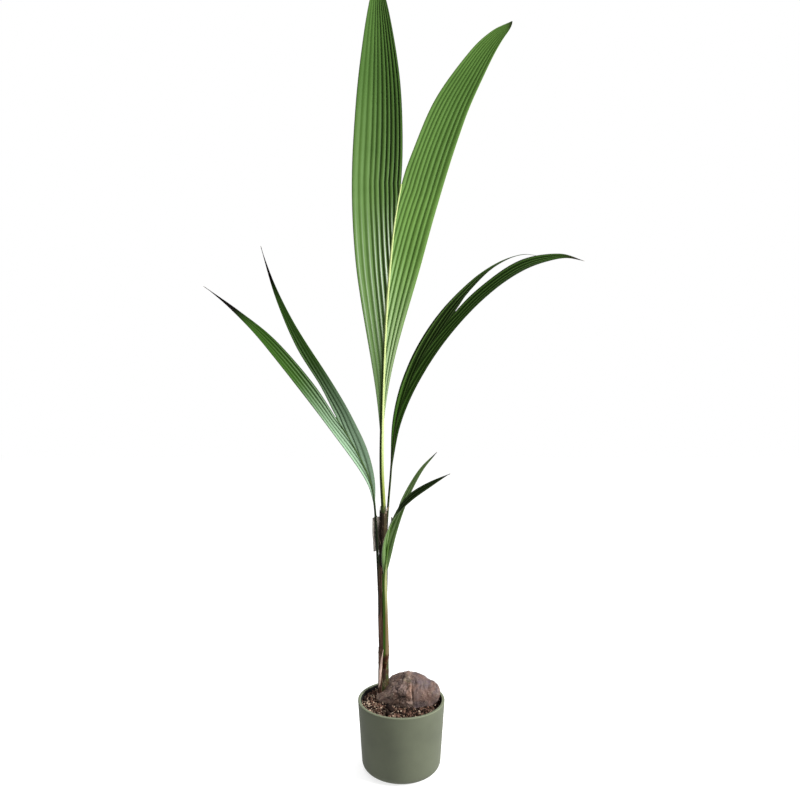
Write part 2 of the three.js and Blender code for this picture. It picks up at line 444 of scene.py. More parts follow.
def leaf_finish(name, pleats, looks):
    """A pleated leaf: pale crests, grooves darkened by painted shade, painted glints by the rib, a waxy
    foot and a dry tip.

    The painted shade in the grooves and deep folds, and the painted glints, are strongest by the rib,
    and the looks say how much of them is left at the margin.
    """
    finish = Finish(name, gloss=looks["gloss"])
    across, along = finish.surface()
    pleat = across * pleats
    crest = abs((pleat * math.pi).math("SINE"))
    veins = finish.cloud(finish.join(pleat * 9.0, along * 3.0), 1.0, 2.0, 0.6)
    bands = finish.cloud(finish.join(pleat * 1.3, along * 1.6, 4.0), 1.0, 2.0)
    blotches = finish.cloud(finish.place(), 9.0, 4.0, 0.6)
    inner = 1.0 - across.ramp(0.1, 0.85)
    low = 1.0 - (along + bands * 0.12).ramp(*looks["low_reach"])

    colour = finish.mix(looks["crest"], looks["low"], low)
    colour = finish.mix(colour, looks["pale"], bands.ramp(0.42, 0.75) * crest * looks["banding"])
    colour = finish.mix(colour, looks["pale"], veins.ramp(0.5, 0.75) * 0.3)
    colour = finish.mix(colour, looks["dull"], blotches.ramp(0.35, 0.7) * 0.25)
    waxy = 1.0 - (along + bands * 0.1).ramp(looks["foot_reach"] * 0.4, looks["foot_reach"])
    colour = finish.mix(colour, looks["foot"], waxy * (crest * 0.6 + 0.35))
    uneven = (bands + 0.4 + waxy * 0.8) * (1.0 - waxy * looks["foot_cover"])
    # Painted shade: the grooves between the pleats are darkened, most by the rib, and the deep folds by
    # the rib darker still.
    groove = (1.0 - crest.ramp(0.08, 0.8)) * blend(looks["outer_groove"], 1.0, inner)
    colour = finish.mix(colour, looks["groove"], groove * uneven)
    deep = (1.0 - crest.ramp(0.15, 0.96)) * inner * looks["deepening"]
    colour = finish.mix(colour, looks["deep"], deep * uneven)
    shining = along.ramp(0.14, 0.24) * (1.0 - along.ramp(*looks["glint_reach"]))
    glint = crest.ramp(0.88, 1.0) * shining * blend(looks["outer_glint"], 1.0, inner)
    colour = finish.mix(colour, looks["glint"], glint * looks["glinting"])
    if "shade" in looks:
        shaded = (along + bands * 0.04).ramp(*looks["shade_reach"])
        colour = finish.mix(colour, looks["shade"], shaded * (1.0 - crest.ramp(0.8, 1.0) * 0.3))
    margin = 1.0 - across.ramp(0.0, 0.10 / pleats) + across.ramp(1 - 0.13 / pleats, 1.0)
    colour = finish.mix(colour, looks["margin"], margin * 0.8)
    drying = (along + veins * 0.02).ramp(*looks["tip_reach"])
    colour = finish.mix(colour, looks["tip"], drying)
    dead = (along + veins * 0.012).ramp(0.985, 1.002)
    colour = finish.mix(colour, looks["tip_end"], dead)
    finish.feed("Base Color", colour)
    finish.feed("Roughness", looks["roughness"] + blotches * 0.1 + drying * 0.2)
    fine = finish.cloud(finish.join(pleat * 22.0, along * 5.0, 2.0), 1.0, 2.0, 0.7)
    finish.relief(fine + veins * 0.6, 0.25 * MM, 0.5)
    return finish.material


def stalk_finish(name, looks):
    """A waxy stalk: paler right of its keel and darker left of it, the dark left face partly its own
    tone and partly painted shade; brown low down, fine lines.
    """
    finish = Finish(name, gloss=0.06)
    turn, along = finish.surface()
    lines = finish.cloud(finish.join(turn * 26.0, along * 3.0), 1.0, 2.0, 0.6)
    spots = finish.cloud(finish.place(), 70.0, 4.0, 0.6)
    colour = finish.mix(looks["right"], looks["upper"], along.ramp(*looks["upper_reach"]))
    colour = finish.mix(colour, looks["line"], lines.ramp(0.5, 0.8) * 0.3)
    if "edge" in looks:
        edge = (1.0 - turn.ramp(0.05, 0.11) + turn.ramp(0.85, 0.95)) * (1.0 - along.ramp(0.3, 0.5))
        colour = finish.mix(colour, looks["edge"], edge)
    brown = 1.0 - (along + spots * 0.06).ramp(looks["brown_reach"] * 0.6, looks["brown_reach"])
    colour = finish.mix(colour, looks["brown"], brown + spots.ramp(0.62, 0.75) * 0.2)
    # The dark left face is partly the stalk's own tone and partly painted shade, fading out higher up.
    left = (turn + spots * 0.02).ramp(looks["keel"], looks["keel"] + 0.03)
    left = left * (1.0 - turn.ramp(0.72, 0.95)) * (1.0 - along.ramp(*looks["dark_reach"]))
    colour = finish.mix(colour, looks["left"], left)
    if "base" in looks:
        base = (1.0 - (along + spots * 0.05).ramp(0.1, 0.16)) * spots.ramp(0.42, 0.54)
        colour = finish.mix(colour, looks["base"], base)
    finish.feed("Base Color", colour)
    finish.feed("Roughness", 0.45 + spots * 0.2)
    finish.relief(lines + spots * 0.4, 0.3 * MM, 0.6)
    return finish.material


def bark_finish(name, looks):
    """Dry fibrous sheath: streaks along the stem with mottled patches."""
    finish = Finish(name, roughness=0.85, gloss=0.15)
    turn, along = finish.surface()
    place = finish.place()
    fibres = finish.cloud(finish.join(turn * looks["fibres"], along * looks["stretch"]), 1.0, 4.0, 0.7)
    patches = finish.cloud(place, 55.0, 5.0, 0.65, 0.4)
    flecks = finish.cloud(place, 210.0, 2.0, 0.5)
    colour = finish.mix(looks["dark"], looks["mid"], fibres.ramp(0.35, 0.6))
    colour = finish.mix(colour, looks["light"], fibres.ramp(0.6, 0.78) * 0.8)
    colour = finish.mix(colour, looks["patch"], patches.ramp(0.52, 0.66) * looks["patchy"])
    colour = finish.mix(colour, looks["fleck"], flecks.ramp(0.68, 0.74) * 0.7)
    if "shade" in looks:
        colour = finish.mix(colour, looks["shade"], turn.ramp(*looks["shade_reach"]) * 0.85)
    finish.feed("Base Color", colour)
    finish.feed("Roughness", 0.75 + fibres * 0.2)
    finish.relief(fibres + patches * 0.5, 0.8 * MM, 0.9)
    return finish.material


def stem_finish(looks):
    """The living stem under the sheaths: green, olive and mottled towards its foot, with a narrow strip
    of painted shade where the sheaths open.
    """
    finish = Finish("living_stem", gloss=0.25)
    turn, along = finish.surface()
    place = finish.place()
    lines = finish.cloud(finish.join(turn * 30.0, along * 9.0), 1.0, 3.0, 0.6)
    patches = finish.cloud(finish.place((1, 1, 0.5)), 75.0, 5.0, 0.65, 0.6)
    flecks = finish.cloud(place, 190.0, 2.0, 0.5)
    colour = finish.mix(looks["green"], looks["olive"], lines.ramp(0.4, 0.65))
    low = 1.0 - (along + patches * 0.06).ramp(0.2, 0.36)
    colour = finish.mix(colour, looks["brown"], patches.ramp(0.4, 0.54) * (low * 0.85 + 0.1))
    colour = finish.mix(colour, looks["red"], patches.ramp(0.6, 0.7) * low * 0.8)
    colour = finish.mix(colour, looks["fleck"], flecks.ramp(0.66, 0.72) * (low * 0.8 + 0.1))
    # Painted shade: a narrow dark strip low on the front-right of the stem, in the opening between the
    # sheaths.
    gap = turn.ramp(0.16, 0.19) * along.ramp(0.12, 0.16) * (1.0 - along.ramp(0.26, 0.3))
    colour = finish.mix(colour, looks["gap"], gap * 0.9)
    finish.feed("Base Color", colour)
    finish.feed("Roughness", 0.55 + patches * 0.3)
    finish.relief(lines + patches, 0.7 * MM, 0.8)
    return finish.material


def husk_finish(looks):
    """Weathered husk: grey-purple skin with stains and dark cracks, a paler tip half that is partly
    worn skin and partly painted light, less pale on top where more light falls, paler on the high lumps
    as wear and painted highlight, and painted shade in the low places.
    """
    finish = Finish("weathered_husk", roughness=0.8, gloss=0.2)
    middle = [c * MM for c in NUT["middle"]]
    place = finish.place((1, 1, 1), middle)
    blunt = finish.axis(place, 0).ramp(0.006, 0.02)
    top = finish.axis(place, 2).ramp(0.0, 0.04)
    lengthwise = finish.cloud(finish.place((0.35, 1.3, 1.3), middle), 85.0, 5.0, 0.7, 0.5)
    girthwise = finish.cloud(finish.place((1.6, 0.5, 0.5), middle), 70.0, 5.0, 0.65, 1.2)
    streaks = lengthwise * (1.0 - blunt) + girthwise * blunt
    stains = finish.cloud(place, 30.0, 5.0, 0.62, 0.8)
    patches = finish.cloud(finish.place((1, 1, 1), (0.2, 0, 0)), 46.0, 4.0, 0.6, 0.3)
    grain = finish.cloud(place, 330.0, 3.0, 0.7)
    fine = finish.cloud(place, 700.0, 3.0, 0.7)
    pits = finish.cells(place, 110.0)
    height = finish.node("ShaderNodeAttribute", {"attribute_name": RELIEF_NAME}, {}, 2)
    colour = finish.mix(looks["shadow"], looks["skin"], streaks.ramp(0.3, 0.55))
    browned = stains.ramp(0.46, 0.6) * (1.0 - blunt * 0.65)
    colour = finish.mix(colour, looks["brown"], browned * 0.85)
    colour = finish.mix(colour, looks["olive"], patches.ramp(0.55, 0.64) * (1.0 - blunt * 0.7) * 0.6)
    colour = finish.mix(colour, looks["mauve"], (1.0 - stains.ramp(0.36, 0.5)) * 0.6)
    # The paler tip half is partly worn skin and partly painted light on the side that lies in shade; it
    # and the pale flecks below are weaker on top, where more light falls.
    worn = (1.0 - blunt) * (1.0 - top * 0.55) * streaks.ramp(0.25, 0.6) * 0.75
    colour = finish.mix(colour, looks["worn"], worn)
    flecks = finish.cloud(place, 130.0, 3.0, 0.6).ramp(0.57, 0.68)
    colour = finish.mix(colour, looks["pale"], flecks * (0.75 - blunt * 0.5 - top * 0.2))
    cracks = abs(finish.cloud(place, 24.0, 2.0, 0.5, 1.0) - 0.5)
    cracked = (1.0 - cracks.ramp(0.004, 0.022)) * (0.8 - blunt * 0.55)
    colour = finish.mix(colour, looks["dark"], cracked)
    colour = finish.mix(colour, looks["pale"], grain.ramp(0.62, 0.72) * 0.4)
    # Paler on the high lumps, partly worn skin and partly painted highlight; darker in the low places,
    # as painted shade.
    colour = finish.mix(colour, looks["pale"], height.ramp(0.8, 2.4) * streaks.ramp(0.4, 0.6) * 0.5)
    colour = finish.mix(colour, looks["dark"], (1.0 - height.ramp(-3.2, -0.9)) * 0.85)
    pitted = (1.0 - pits.ramp(0.05, 0.14)) * stains.ramp(0.45, 0.6)
    colour = finish.mix(colour, looks["pit"], pitted * 0.8)
    colour = finish.mix(colour, looks["dark"], (1.0 - grain.ramp(0.3, 0.42)) * 0.5)
    finish.feed("Base Color", colour)
    finish.feed("Roughness", 0.68 + streaks * 0.25)
    finish.relief(streaks + stains * 0.8 + grain * 0.4 + fine * 0.15 - pitted * 1.5, 1.2 * MM, 1.0)
    return finish.material


def crumb_finish(name, colour, dark):
    """A plain crumb colour with rough grain."""
    finish = Finish(name, roughness=0.95, gloss=0.12)
    grain = finish.cloud(finish.place(), 420.0, 4.0, 0.7)
    finish.feed("Base Color", finish.mix(dark, colour, grain.ramp(0.35, 0.6)))
    finish.feed("Roughness", 0.8 + grain * 0.2)
    finish.relief(grain, 0.5 * MM)
    return finish.material


def toned(colour, gain):
    """A colour made lighter or darker."""
    return tuple(min(part * gain, 1) for part in colour[:3]) + (1.0,)


def pot_finish(colour, inner_wall_dark):
    """A matte glaze with faint clouds, fine grain, a paler rim that is partly wear and partly a painted
    highlight, and a darker inner wall.
    """
    finish = Finish("matte_glaze", roughness=0.6, gloss=0.25)
    place = finish.place()
    clouds = finish.cloud(place, 14.0, 4.0, 0.55)
    grain = finish.cloud(place, 900.0, 3.0, 0.6)
    specks = finish.cells(place, 260.0)
    height = finish.axis(place, 2)
    dark = toned(colour, 0.82)
    mixed = finish.mix(dark, colour, clouds.ramp(0.25, 0.6))
    faint = clouds.ramp(0.55, 0.8) * 0.3 + grain.ramp(0.5, 0.8) * 0.15
    mixed = finish.mix(mixed, toned(colour, 1.35), faint)
    # The paler band round the rim is partly wear and partly a painted highlight.
    rim = POT_TOP.z - 1.2 * MM
    worn = (height + grain * 0.6 * MM).ramp(rim - 0.6 * MM, rim + 1.4 * MM)
    mixed = finish.mix(mixed, toned(colour, 1.9), worn * 0.8)
    speck = (1.0 - specks.ramp(0.06, 0.12)) * grain.ramp(0.5, 0.6)
    mixed = finish.mix(mixed, dark, speck * 0.6)
    # Darkens the inner wall from about 5 cm up to just under the rim.
    flat = finish.node("ShaderNodeMapping", {}, {0: finish.place(), 3: (1, 1, 0)})
    out = finish.node("ShaderNodeVectorMath", {"operation": "LENGTH"}, {0: flat}, 1)
    lean = (POT_TOP.x - POT["shoulder"] * MM) / POT_TOP.z
    depth = height * lean - out + POT["shoulder"] * MM
    below = height.ramp(0.04, 0.05) * (1.0 - height.ramp(rim - 0.3 * MM, rim + 0.7 * MM))
    mixed = finish.mix(mixed, inner_wall_dark, depth.ramp(2 * MM, 3 * MM) * below)
    finish.feed("Base Color", mixed)
    finish.feed("Roughness", 0.55 + clouds * 0.15 + grain * 0.05)
    finish.relief(grain + clouds * 2.0, 0.12 * MM, 0.6)
    return finish.material


# ---- Modelling helpers ----

def blend(low, high, share):
    return low + (high - low) * share


def clamp(value, low=0.0, high=1.0):
    return max(low, min(high, value))


def bell(away, reach):
    """1 at no distance, and falling smoothly to a third at the reach."""
    return math.exp(-((away / reach) ** 2))


class Path:
    """A smooth curve through points in millimetres, walked by shares of its length."""

    STEPS = 60

    def __init__(self, points):
        points = [Vector(p) * MM for p in points]
        before = 2 * points[0] - points[1]
        after = 2 * points[-1] - points[-2]
        self.points = [before, *points, after]
        self.spans = len(points) - 1
        spots = [self.spot(i / self.STEPS) for i in range(self.spans * self.STEPS + 1)]
        gaps = [(b - a).length for a, b in zip(spots, spots[1:])]
        self.lengths = list(accumulate(gaps, initial=0.0))
        self.frames = {}
        self.drifts = {}

    @property
    def length(self):
        return self.lengths[-1]

    def spot(self, place):
        """The point at a place counted in spans."""
        span = min(int(place), self.spans - 1)
        t = place - span
        a, b, c, d = self.points[span : span + 4]
        bend = (2 * a - 5 * b + 4 * c - d) * t * t + (3 * b - a - 3 * c + d) * t**3
        return 0.5 * (2 * b + (c - a) * t + bend)

    def share_of(self, number):
        """The share of the length at one of the points."""
        return self.lengths[number * self.STEPS] / self.length

    def frame(self, share):
        """The point, the tangent, and the directions to the right and to the front."""
        if share not in self.frames:
            goal = clamp(share) * self.length
            i = clamp(bisect_left(self.lengths, goal), 1, len(self.lengths) - 1)
            part = (goal - self.lengths[i - 1]) / (self.lengths[i] - self.lengths[i - 1])
            place = (i - 1 + part) / self.STEPS
            ahead = self.spot(min(place + 0.01, self.spans))
            behind = self.spot(max(place - 0.01, 0.0))
            tangent = (ahead - behind).normalized()
            right = tangent.cross(FRONT).normalized()
            self.frames[share] = self.spot(place), tangent, right, right.cross(tangent)
        return self.frames[share]


def sheet(columns, rows, put, wrap=False):
    """A grid with each corner put where put(across, along) says, closed into a tube by wrap."""
    mesh = bmesh.new()
    mesh.loops.layers.uv.new(UV_NAME)
    bmesh.ops.create_grid(mesh, x_segments=columns, y_segments=rows, size=0.5, calc_uvs=True)
    for vert in mesh.verts:
        vert.co = put(round(vert.co.x + 0.5, 6), round(vert.co.y + 0.5, 6))
    bmesh.ops.remove_doubles(mesh, verts=mesh.verts, dist=MERGE)
    if wrap:
        rims = [edge for edge in mesh.edges if edge.is_boundary]
        bmesh.ops.holes_fill(mesh, edges=rims, sides=0)
    return mesh


def tube(path, radius, sides, steps):
    """A closed tube round a path, where radius(turn, share) is its size."""

    def put(turn, share):
        at, _, right, forward = path.frame(share)
        angle = turn * TAU
        return at + (right * math.cos(angle) + forward * math.sin(angle)) * radius(turn % 1, share)

    return sheet(sides, steps, put, wrap=True)


def thicken(mesh, thickness):
    """Gives an open sheet a wall of even thickness, half on each side."""
    bmesh.ops.recalc_face_normals(mesh, faces=mesh.faces)
    for vert in mesh.verts:
        vert.co += vert.normal * thickness / 2
    bmesh.ops.solidify(mesh, geom=mesh.faces[:], thickness=thickness)


def turned(outline, steps):
    """A closed shape turned round the Z axis from an outline of (radius, height)."""
    mesh = bmesh.new()
    verts = [mesh.verts.new((radius * MM, 0, height * MM)) for radius, height in outline]
    edges = [mesh.edges.new(pair) for pair in zip(verts, verts[1:])]
    turn = {"cent": (0, 0, 0), "axis": (0, 0, 1), "angle": TAU, "steps": steps, "use_merge": True}
    bmesh.ops.spin(mesh, geom=verts + edges, **turn)
    bmesh.ops.remove_doubles(mesh, verts=mesh.verts, dist=MERGE)
    bmesh.ops.recalc_face_normals(mesh, faces=mesh.faces)
    return mesh


def round_ring(mesh, radius, height, offset, segments):
    """Rounds the ring of edges at a radius and height."""

    def on_ring(vert):
        off = abs(vert.co.z - height * MM) + abs(vert.co.xy.length - radius * MM)
        return off < 0.1 * MM

    ring = [edge for edge in mesh.edges if all(on_ring(vert) for vert in edge.verts)]
    bmesh.ops.bevel(
        mesh,
        geom=ring,
        offset=offset * MM,
        segments=segments,
        profile=0.5,
        affect="EDGES",
        material=-1,
    )


def grow_hair(mesh, points, radius, sides=3, steps=6):
    """Adds one thin tapering strand along a few points."""
    rings = []
    for i in range(steps + 1):
        share = i / steps
        place = share * (len(points) - 1)
        span = min(int(place), len(points) - 2)
        at = points[span].lerp(points[span + 1], place - span)
        heading = (points[span + 1] - points[span]).to_track_quat("Z", "Y").to_matrix().to_4x4()
        turn = Matrix.Translation(at) @ heading
        size = radius * (1 - 0.7 * share)
        capped = i in (0, steps)
        made = bmesh.ops.create_circle(mesh, segments=sides, radius=size, matrix=turn, cap_ends=capped)
        rings.append(list(made["verts"]))
    for low, high in zip(rings, rings[1:]):
        for k in range(sides):
            following = (k + 1) % sides
            mesh.faces.new((low[k], low[following], high[following], high[k]))


def add_piece(name, mesh, material, slot, nodes=()):
    """Makes a finished piece of a mesh: its normals, material, body and CAD nodes; the slot is not
    used.
    """
    bmesh.ops.recalc_face_normals(mesh, faces=mesh.faces)
    for face in mesh.faces:
        face.smooth = True
    data = bpy.data.meshes.new(name)
    mesh.to_mesh(data)
    mesh.free()
    data.materials.append(material)
    piece = bpy.data.objects.new(name, data)
    bpy.context.scene.collection.objects.link(piece)
    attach(piece, "root")
    if nodes:
        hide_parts(*nodes)
    return piece


# ---- Settings ----

def size_setting(name, description, default, unit="LENGTH", **limits):
    return FloatProperty(name=name, description=description, default=default, unit=unit, **limits)


def share_setting(name, description, default):
    limits = {"subtype": "FACTOR", "min": 0, "max": 1}
    return FloatProperty(name=name, description=description, default=default, **limits)


def colour_setting(name, description, code, gain=1.0):
    limits = {"size": 4, "min": 0, "max": 1, "subtype": "COLOR"}
    return FloatVectorProperty(name=name, description=description, default=tone(code, gain), **limits)


def count_setting(name, description, default):
    return IntProperty(name=name, description=description, default=default, min=0)


class PalmPot(bpy.types.PropertyGroup):
    height: size_setting("Height", "From the table to the rim", POT_TOP.z)
    radius: size_setting("Rim radius", "Outside radius of the rim", POT_TOP.x)
    colour: colour_setting("Glaze", "Colour of the matte glaze", "757b64", 0.4)


class PalmMix(bpy.types.PropertyGroup):
    crumbs: count_setting("Crumbs", "Number of bark and coir crumbs", 4400)
    strands: count_setting("Strands", "Number of loose coir strands", 240)
    seed: count_setting("Seed", "Which scatter of crumbs", 7)
    brown: colour_setting("Brown crumbs", "Colour of most crumbs", "8a6858", 0.58)
    dark: colour_setting("Dark crumbs", "Colour of the moist crumbs", "35231b", 0.42)
    tan: colour_setting("Tan crumbs", "Colour of the dry crumbs", "d6bfa8", 0.74)


class PalmNut(bpy.types.PropertyGroup):
    relief: size_setting("Relief", "Depth of the husk's lumps", 1.7 * MM)
    seed: count_setting("Seed", "Which pattern of wrinkles", 3)
    skin: colour_setting("Skin", "Grey-purple weathered skin", "8b7772", 0.38)


class PalmStem(bpy.types.PropertyGroup):
    relief: share_setting("Relief", "Depth of the stem's ridges as a share of its radius", 0.07)
    seed: count_setting("Seed", "Which tears and fibres", 11)
    sheath: colour_setting("Old sheath", "Colour of the dry sheaths", "866452", 0.6)


class PalmFibre(bpy.types.PropertyGroup):
    strands: count_setting("Strands", "Number of woven strands each way", 46)
    seed: count_setting("Seed", "Which weave", 5)
    colour: colour_setting("Fibre", "Colour of the woven fibre", "c8c0b6", 0.9)


class PalmLeaves(bpy.types.PropertyGroup):
    thickness: size_setting("Blade thickness", "Thickness of a leaf blade", 0.6 * MM)
    pleat_depth: FloatProperty(name="Pleat depth", description="Depth of the folds", default=1.0, min=0)
    seed: count_setting("Seed", "Which unevenness of the pleats", 21)
    young: colour_setting("Young leaf", "Crests of the upright leaf", "527834", 0.4)
    old: colour_setting("Old leaf", "Crests of the side leaves", "456b22", 0.36)
    small: colour_setting("Small leaf", "Crests of the small leaf", "86a862", 0.38)


class PalmStage(bpy.types.PropertyGroup):
    floor: size_setting("Floor", "Width of the pale floor", 16.0)
    floor_glow: share_setting("Floor glow", "Keeps the far floor as pale as the background", 0.74)
    ambient: share_setting("Soft light", "Strength of the light from all round", 0.7)
    key: FloatProperty(name="Main light", description="Its power", default=280.0, unit="POWER")


SETTINGS = {
    "palm_pot": PalmPot,
    "palm_mix": PalmMix,
    "palm_nut": PalmNut,
    "palm_stem": PalmStem,
    "palm_fibre": PalmFibre,
    "palm_leaves": PalmLeaves,
    "palm_stage": PalmStage,
}


# ---- Pieces ----

class BuildPot(bpy.types.Operator):
    """Turns the pot from its outline and rounds its foot and rim"""

    bl_idname = "palm.pot"
    bl_label = "Pot"

    def execute(self, context):
        pot = context.scene.palm_pot
        height, rim = pot.height / MM, pot.radius / MM
        shoulder, wall, floor = POT["shoulder"], POT["wall"], POT["floor"]
        outline = [(0, 0), (shoulder, 0), (rim, height), (rim - wall, height)]
        outline += [(shoulder - wall, floor), (0, floor)]
        mesh = turned(outline, 128)
        round_ring(mesh, shoulder, 0, POT["foot_round"], 8)
        round_ring(mesh, shoulder - wall, floor, POT["inner_round"], 6)
        round_ring(mesh, rim, height, POT["rim_round"], 4)
        round_ring(mesh, rim - wall, height, POT["rim_round"], 4)
        add_piece("pot_body", mesh, pot_finish(pot.colour, tone("14120e", 0.4)), "pot", ["pot"])
        return {"FINISHED"}


def mix_height(x, y):
    """The height of the potting mix at a place, uneven by a few millimetres."""
    share = clamp(math.hypot(x, y) / 0.092)
    level = blend(MIX["middle"], MIX["edge"], share * share) * MM
    level += 4 * MM * clamp((y - x) / 0.12)
    lumps = noise.fractal(Vector((x, y, 0.3)) * 55, 1.0, 2.0, 3)
    return level + lumps * 2.2 * MM


def nut_clearance(x, y):
    """Below 1 inside the nut's outline, seen from the top."""
    middle, half = NUT["middle"], NUT["half"]
    return math.hypot((x / MM - middle[0]) / half[0], (y / MM - middle[1]) / half[1])


class BuildMix(bpy.types.Operator):
    """Fills the pot with an uneven bed, crumbs in three tints and coir strands"""

    bl_idname = "palm.potting_mix"
    bl_label = "Potting mix"

    def execute(self, context):
        mix = context.scene.palm_mix
        material = crumb_finish("moist_bed", mix.dark, tone("120b08"))
        add_piece("mix_bed", mix_bed(), material, "potting_mix", ["potting_mix"])
        dice = random.Random(mix.seed)
        heaps = {
            "brown": (bmesh.new(), mix.brown, tone("2a1a12", 0.6)),
            "dark": (bmesh.new(), mix.dark, tone("0d0805")),
            "tan": (bmesh.new(), mix.tan, tone("6b523f", 0.7)),
        }
        for _ in range(mix.crumbs):
            add_crumb(heaps, dice)
        for name, (heap, colour, dark) in heaps.items():
            material = crumb_finish(f"{name}_crumb", colour, dark)
            add_piece(f"mix_crumbs_{name}", heap, material, "potting_mix")
        strands = bmesh.new()
        for _ in range(mix.strands):
            add_strand(strands, dice)
        material = crumb_finish("coir_strand", tone("9a7556", 0.7), tone("5b3d28", 0.7))
        add_piece("mix_strands", strands, material, "potting_mix")
        return {"FINISHED"}


def mix_bed(rings=34):
    """The closed bed under the crumbs, which fills the pot up to its uneven top."""
    edge = POT["shoulder"] - POT["wall"] + MIX["widening"]
    outline = MIX["foot"] + [(edge, MIX["edge"])]
    outline += [(edge * ring / rings, MIX["edge"]) for ring in range(rings - 1, -1, -1)]
    mesh = turned(outline, 132)
    for vert in mesh.verts:
        if vert.co.z > (MIX["edge"] - 1) * MM:
            vert.co.z = mix_height(vert.co.x, vert.co.y)
    return mesh


def scattered(dice, reach):
    """A random place on a disc, and how far out it is."""
    angle, out = dice.uniform(0, TAU), reach * MM * math.sqrt(dice.random())
    return out * math.cos(angle), out * math.sin(angle), out


def add_crumb(heaps, dice):
    """Drops one crumb on the bed, more often a tan one to the front and much more often to the left,
    partly as real dry crumbs and partly as painted light on the side the nut shades.
    """
    x, y, out = scattered(dice, 91.5)
    size = dice.lognormvariate(0.45, 0.42) * MM
    spin, pole = dice.uniform(0, TAU), Vector(dice.uniform(-1, 1) for _ in range(3))
    stretch = (dice.uniform(0.8, 2.0), dice.uniform(0.6, 1.1), dice.uniform(0.3, 0.8), 1)
    # Tan crumbs grow more common to the front, and much more to the left, where they are partly real
    # dry crumbs and partly painted light on the side the nut shades.
    dry = 0.12 + 0.18 * clamp(-y / 0.08) + 0.6 * clamp(-x / 0.06)
    pick = dice.choices(("brown", "dark", "tan"), (0.5, 0.4, dry))[0]
    if nut_clearance(x, y) < 0.84 or out + size * 1.6 > CRUMB_REACH * MM:
        return
    heap = heaps[pick][0]
    at = Matrix.Translation((x, y, mix_height(x, y) + size * dice.uniform(0.0, 0.7)))
    place = at @ Matrix.Rotation(spin, 4, pole) @ Matrix.Diagonal(stretch)
    radius = size * (0.75 if pick == "tan" else 1)
    made = bmesh.ops.create_icosphere(heap, subdivisions=1, radius=radius, matrix=place)
    for vert in made["verts"]:
        vert.co += Vector(dice.uniform(-0.2, 0.2) for _ in range(3)) * size


def add_strand(strands, dice):
    """Lays one curling coir strand on the bed."""
    x, y, _ = scattered(dice, 86)
    heading = dice.uniform(0, TAU)
    reach, curl = dice.uniform(6, 17) * MM, dice.uniform(-0.5, 0.5)
    points = []
    for _ in range(5):
        points.append(Vector((x, y, mix_height(x, y) + dice.uniform(0.4, 2.4) * MM)))
        heading += curl
        x += math.cos(heading) * reach / 4
        y += math.sin(heading) * reach / 4
    if max(p.xy.length for p in points) < STRAND_REACH * MM:
        grow_hair(strands, points, dice.uniform(0.18, 0.34) * MM)


class BuildNut(bpy.types.Operator):
    """Shapes the husked nut, its girth ridge, wrinkles, crack and loose fibres"""

    bl_idname = "palm.nut"
    bl_label = "Nut"

    def execute(self, context):
        nut = context.scene.palm_nut
        mesh = bmesh.new()
        along_x = Matrix.Rotation(math.pi / 2, 4, "Y")
        bmesh.ops.create_uvsphere(mesh, u_segments=210, v_segments=130, radius=1, matrix=along_x)
        pitch = Matrix.Rotation(math.radians(-NUT["pitch"]), 4, "Y")
        middle = Vector(NUT["middle"]) * MM
        height = mesh.verts.layers.float.new(RELIEF_NAME)
        for vert in mesh.verts:
            spot, vert[height] = nut_point(vert.co, nut.relief, nut.seed)
            vert.co = middle + pitch @ spot
        looks = {
            "skin": nut.skin,
            "shadow": tone("523e38", 0.36),
            "mauve": tone("7d6d76", 0.44),
            # The worn colour paints the paler tip half, partly worn skin and partly painted light.
            "worn": tone("b39788", 0.78),
            "dark": tone("2e211d", 0.5),
            "brown": tone("8a624e", 0.54),
            "olive": tone("7a7650", 0.56),
            "pale": tone("d8c8b8", 0.66),
            "pit": tone("231914", 0.5),
        }
        add_piece("nut_husk", mesh, husk_finish(looks), "husk", ["nut"])

        dice = random.Random(nut.seed)
        hairs = bmesh.new()
        for _ in range(170):
            around, x = dice.uniform(0, TAU), dice.uniform(-0.97, 0.9)
            girth = math.sqrt(1 - x * x)
            start = Vector((x, math.cos(around) * girth, math.sin(around) * girth))
            drifts = (0.07, 0.04, 0.03)
            step = Vector(dice.uniform(-drift, drift) for drift in drifts)
            points = []
            for k in range(4):
                spot = (start + step * k).normalized()
                lift = 1 + 0.006 * k * dice.random()
                points.append(middle + pitch @ (nut_point(spot, nut.relief, nut.seed)[0] * lift))
            if points[0].z > 138 * MM:
                grow_hair(hairs, points, dice.uniform(0.14, 0.26) * MM, steps=3)
        material = crumb_finish("husk_hair", tone("a08a76", 0.8), tone("6b5646", 0.7))
        add_piece("nut_fibres", hairs, material, "husk")
        return {"FINISHED"}


def nut_base(ball, around):
    """The nut's plain shape round its middle: tapered ends, soft edges and flat places."""
    half = Vector(NUT["half"]) * MM
    taper = NUT["tip_taper"] if ball.x < 0 else NUT["back_taper"]
    edges = 1 + NUT["ridge"] * math.cos(3 * (around - math.radians(NUT["ridge_turn"])))
    girth = ball.yz.length**taper * edges
    base = Vector((ball.x, math.cos(around) * girth, math.sin(around) * girth)) * half
    for normal, depth in NUT_FACETS:
        normal = Vector(normal).normalized()
        base -= normal * max(base.dot(normal) - depth * MM, 0) * 0.9
    return base


def seam_off(ball, around, seed):
    """How many millimetres a point lies behind the wandering seam round the nut's girth."""
    wander = 0.05 * noise.noise(Vector((around * 1.6, seed, 0)))
    wander += 0.02 * noise.noise(Vector((around * 7, seed, 2)))
    return (ball.x - NUT["seam"] - wander) * NUT["half"][0]


def seam_relief(off, around, seed):
    """The seam's worn ridge, lowest on top, and the dark crevice beside it at the front."""
    turn = math.degrees(around) % 360
    worn = 0.55 + 0.6 * noise.noise(Vector((around * 3.1, seed, 4.0)))
    high = blend(0.25, 1, clamp((turn - 84) / 50)) * clamp((178 - turn) / 30)
    ridge = NUT["seam_ridge"] * worn * high * bell(off + 3, math.sqrt(13))
    return ridge - NUT["seam_crevice"] * bell(turn - 156, 20) * bell(off - 1.6, math.sqrt(3))


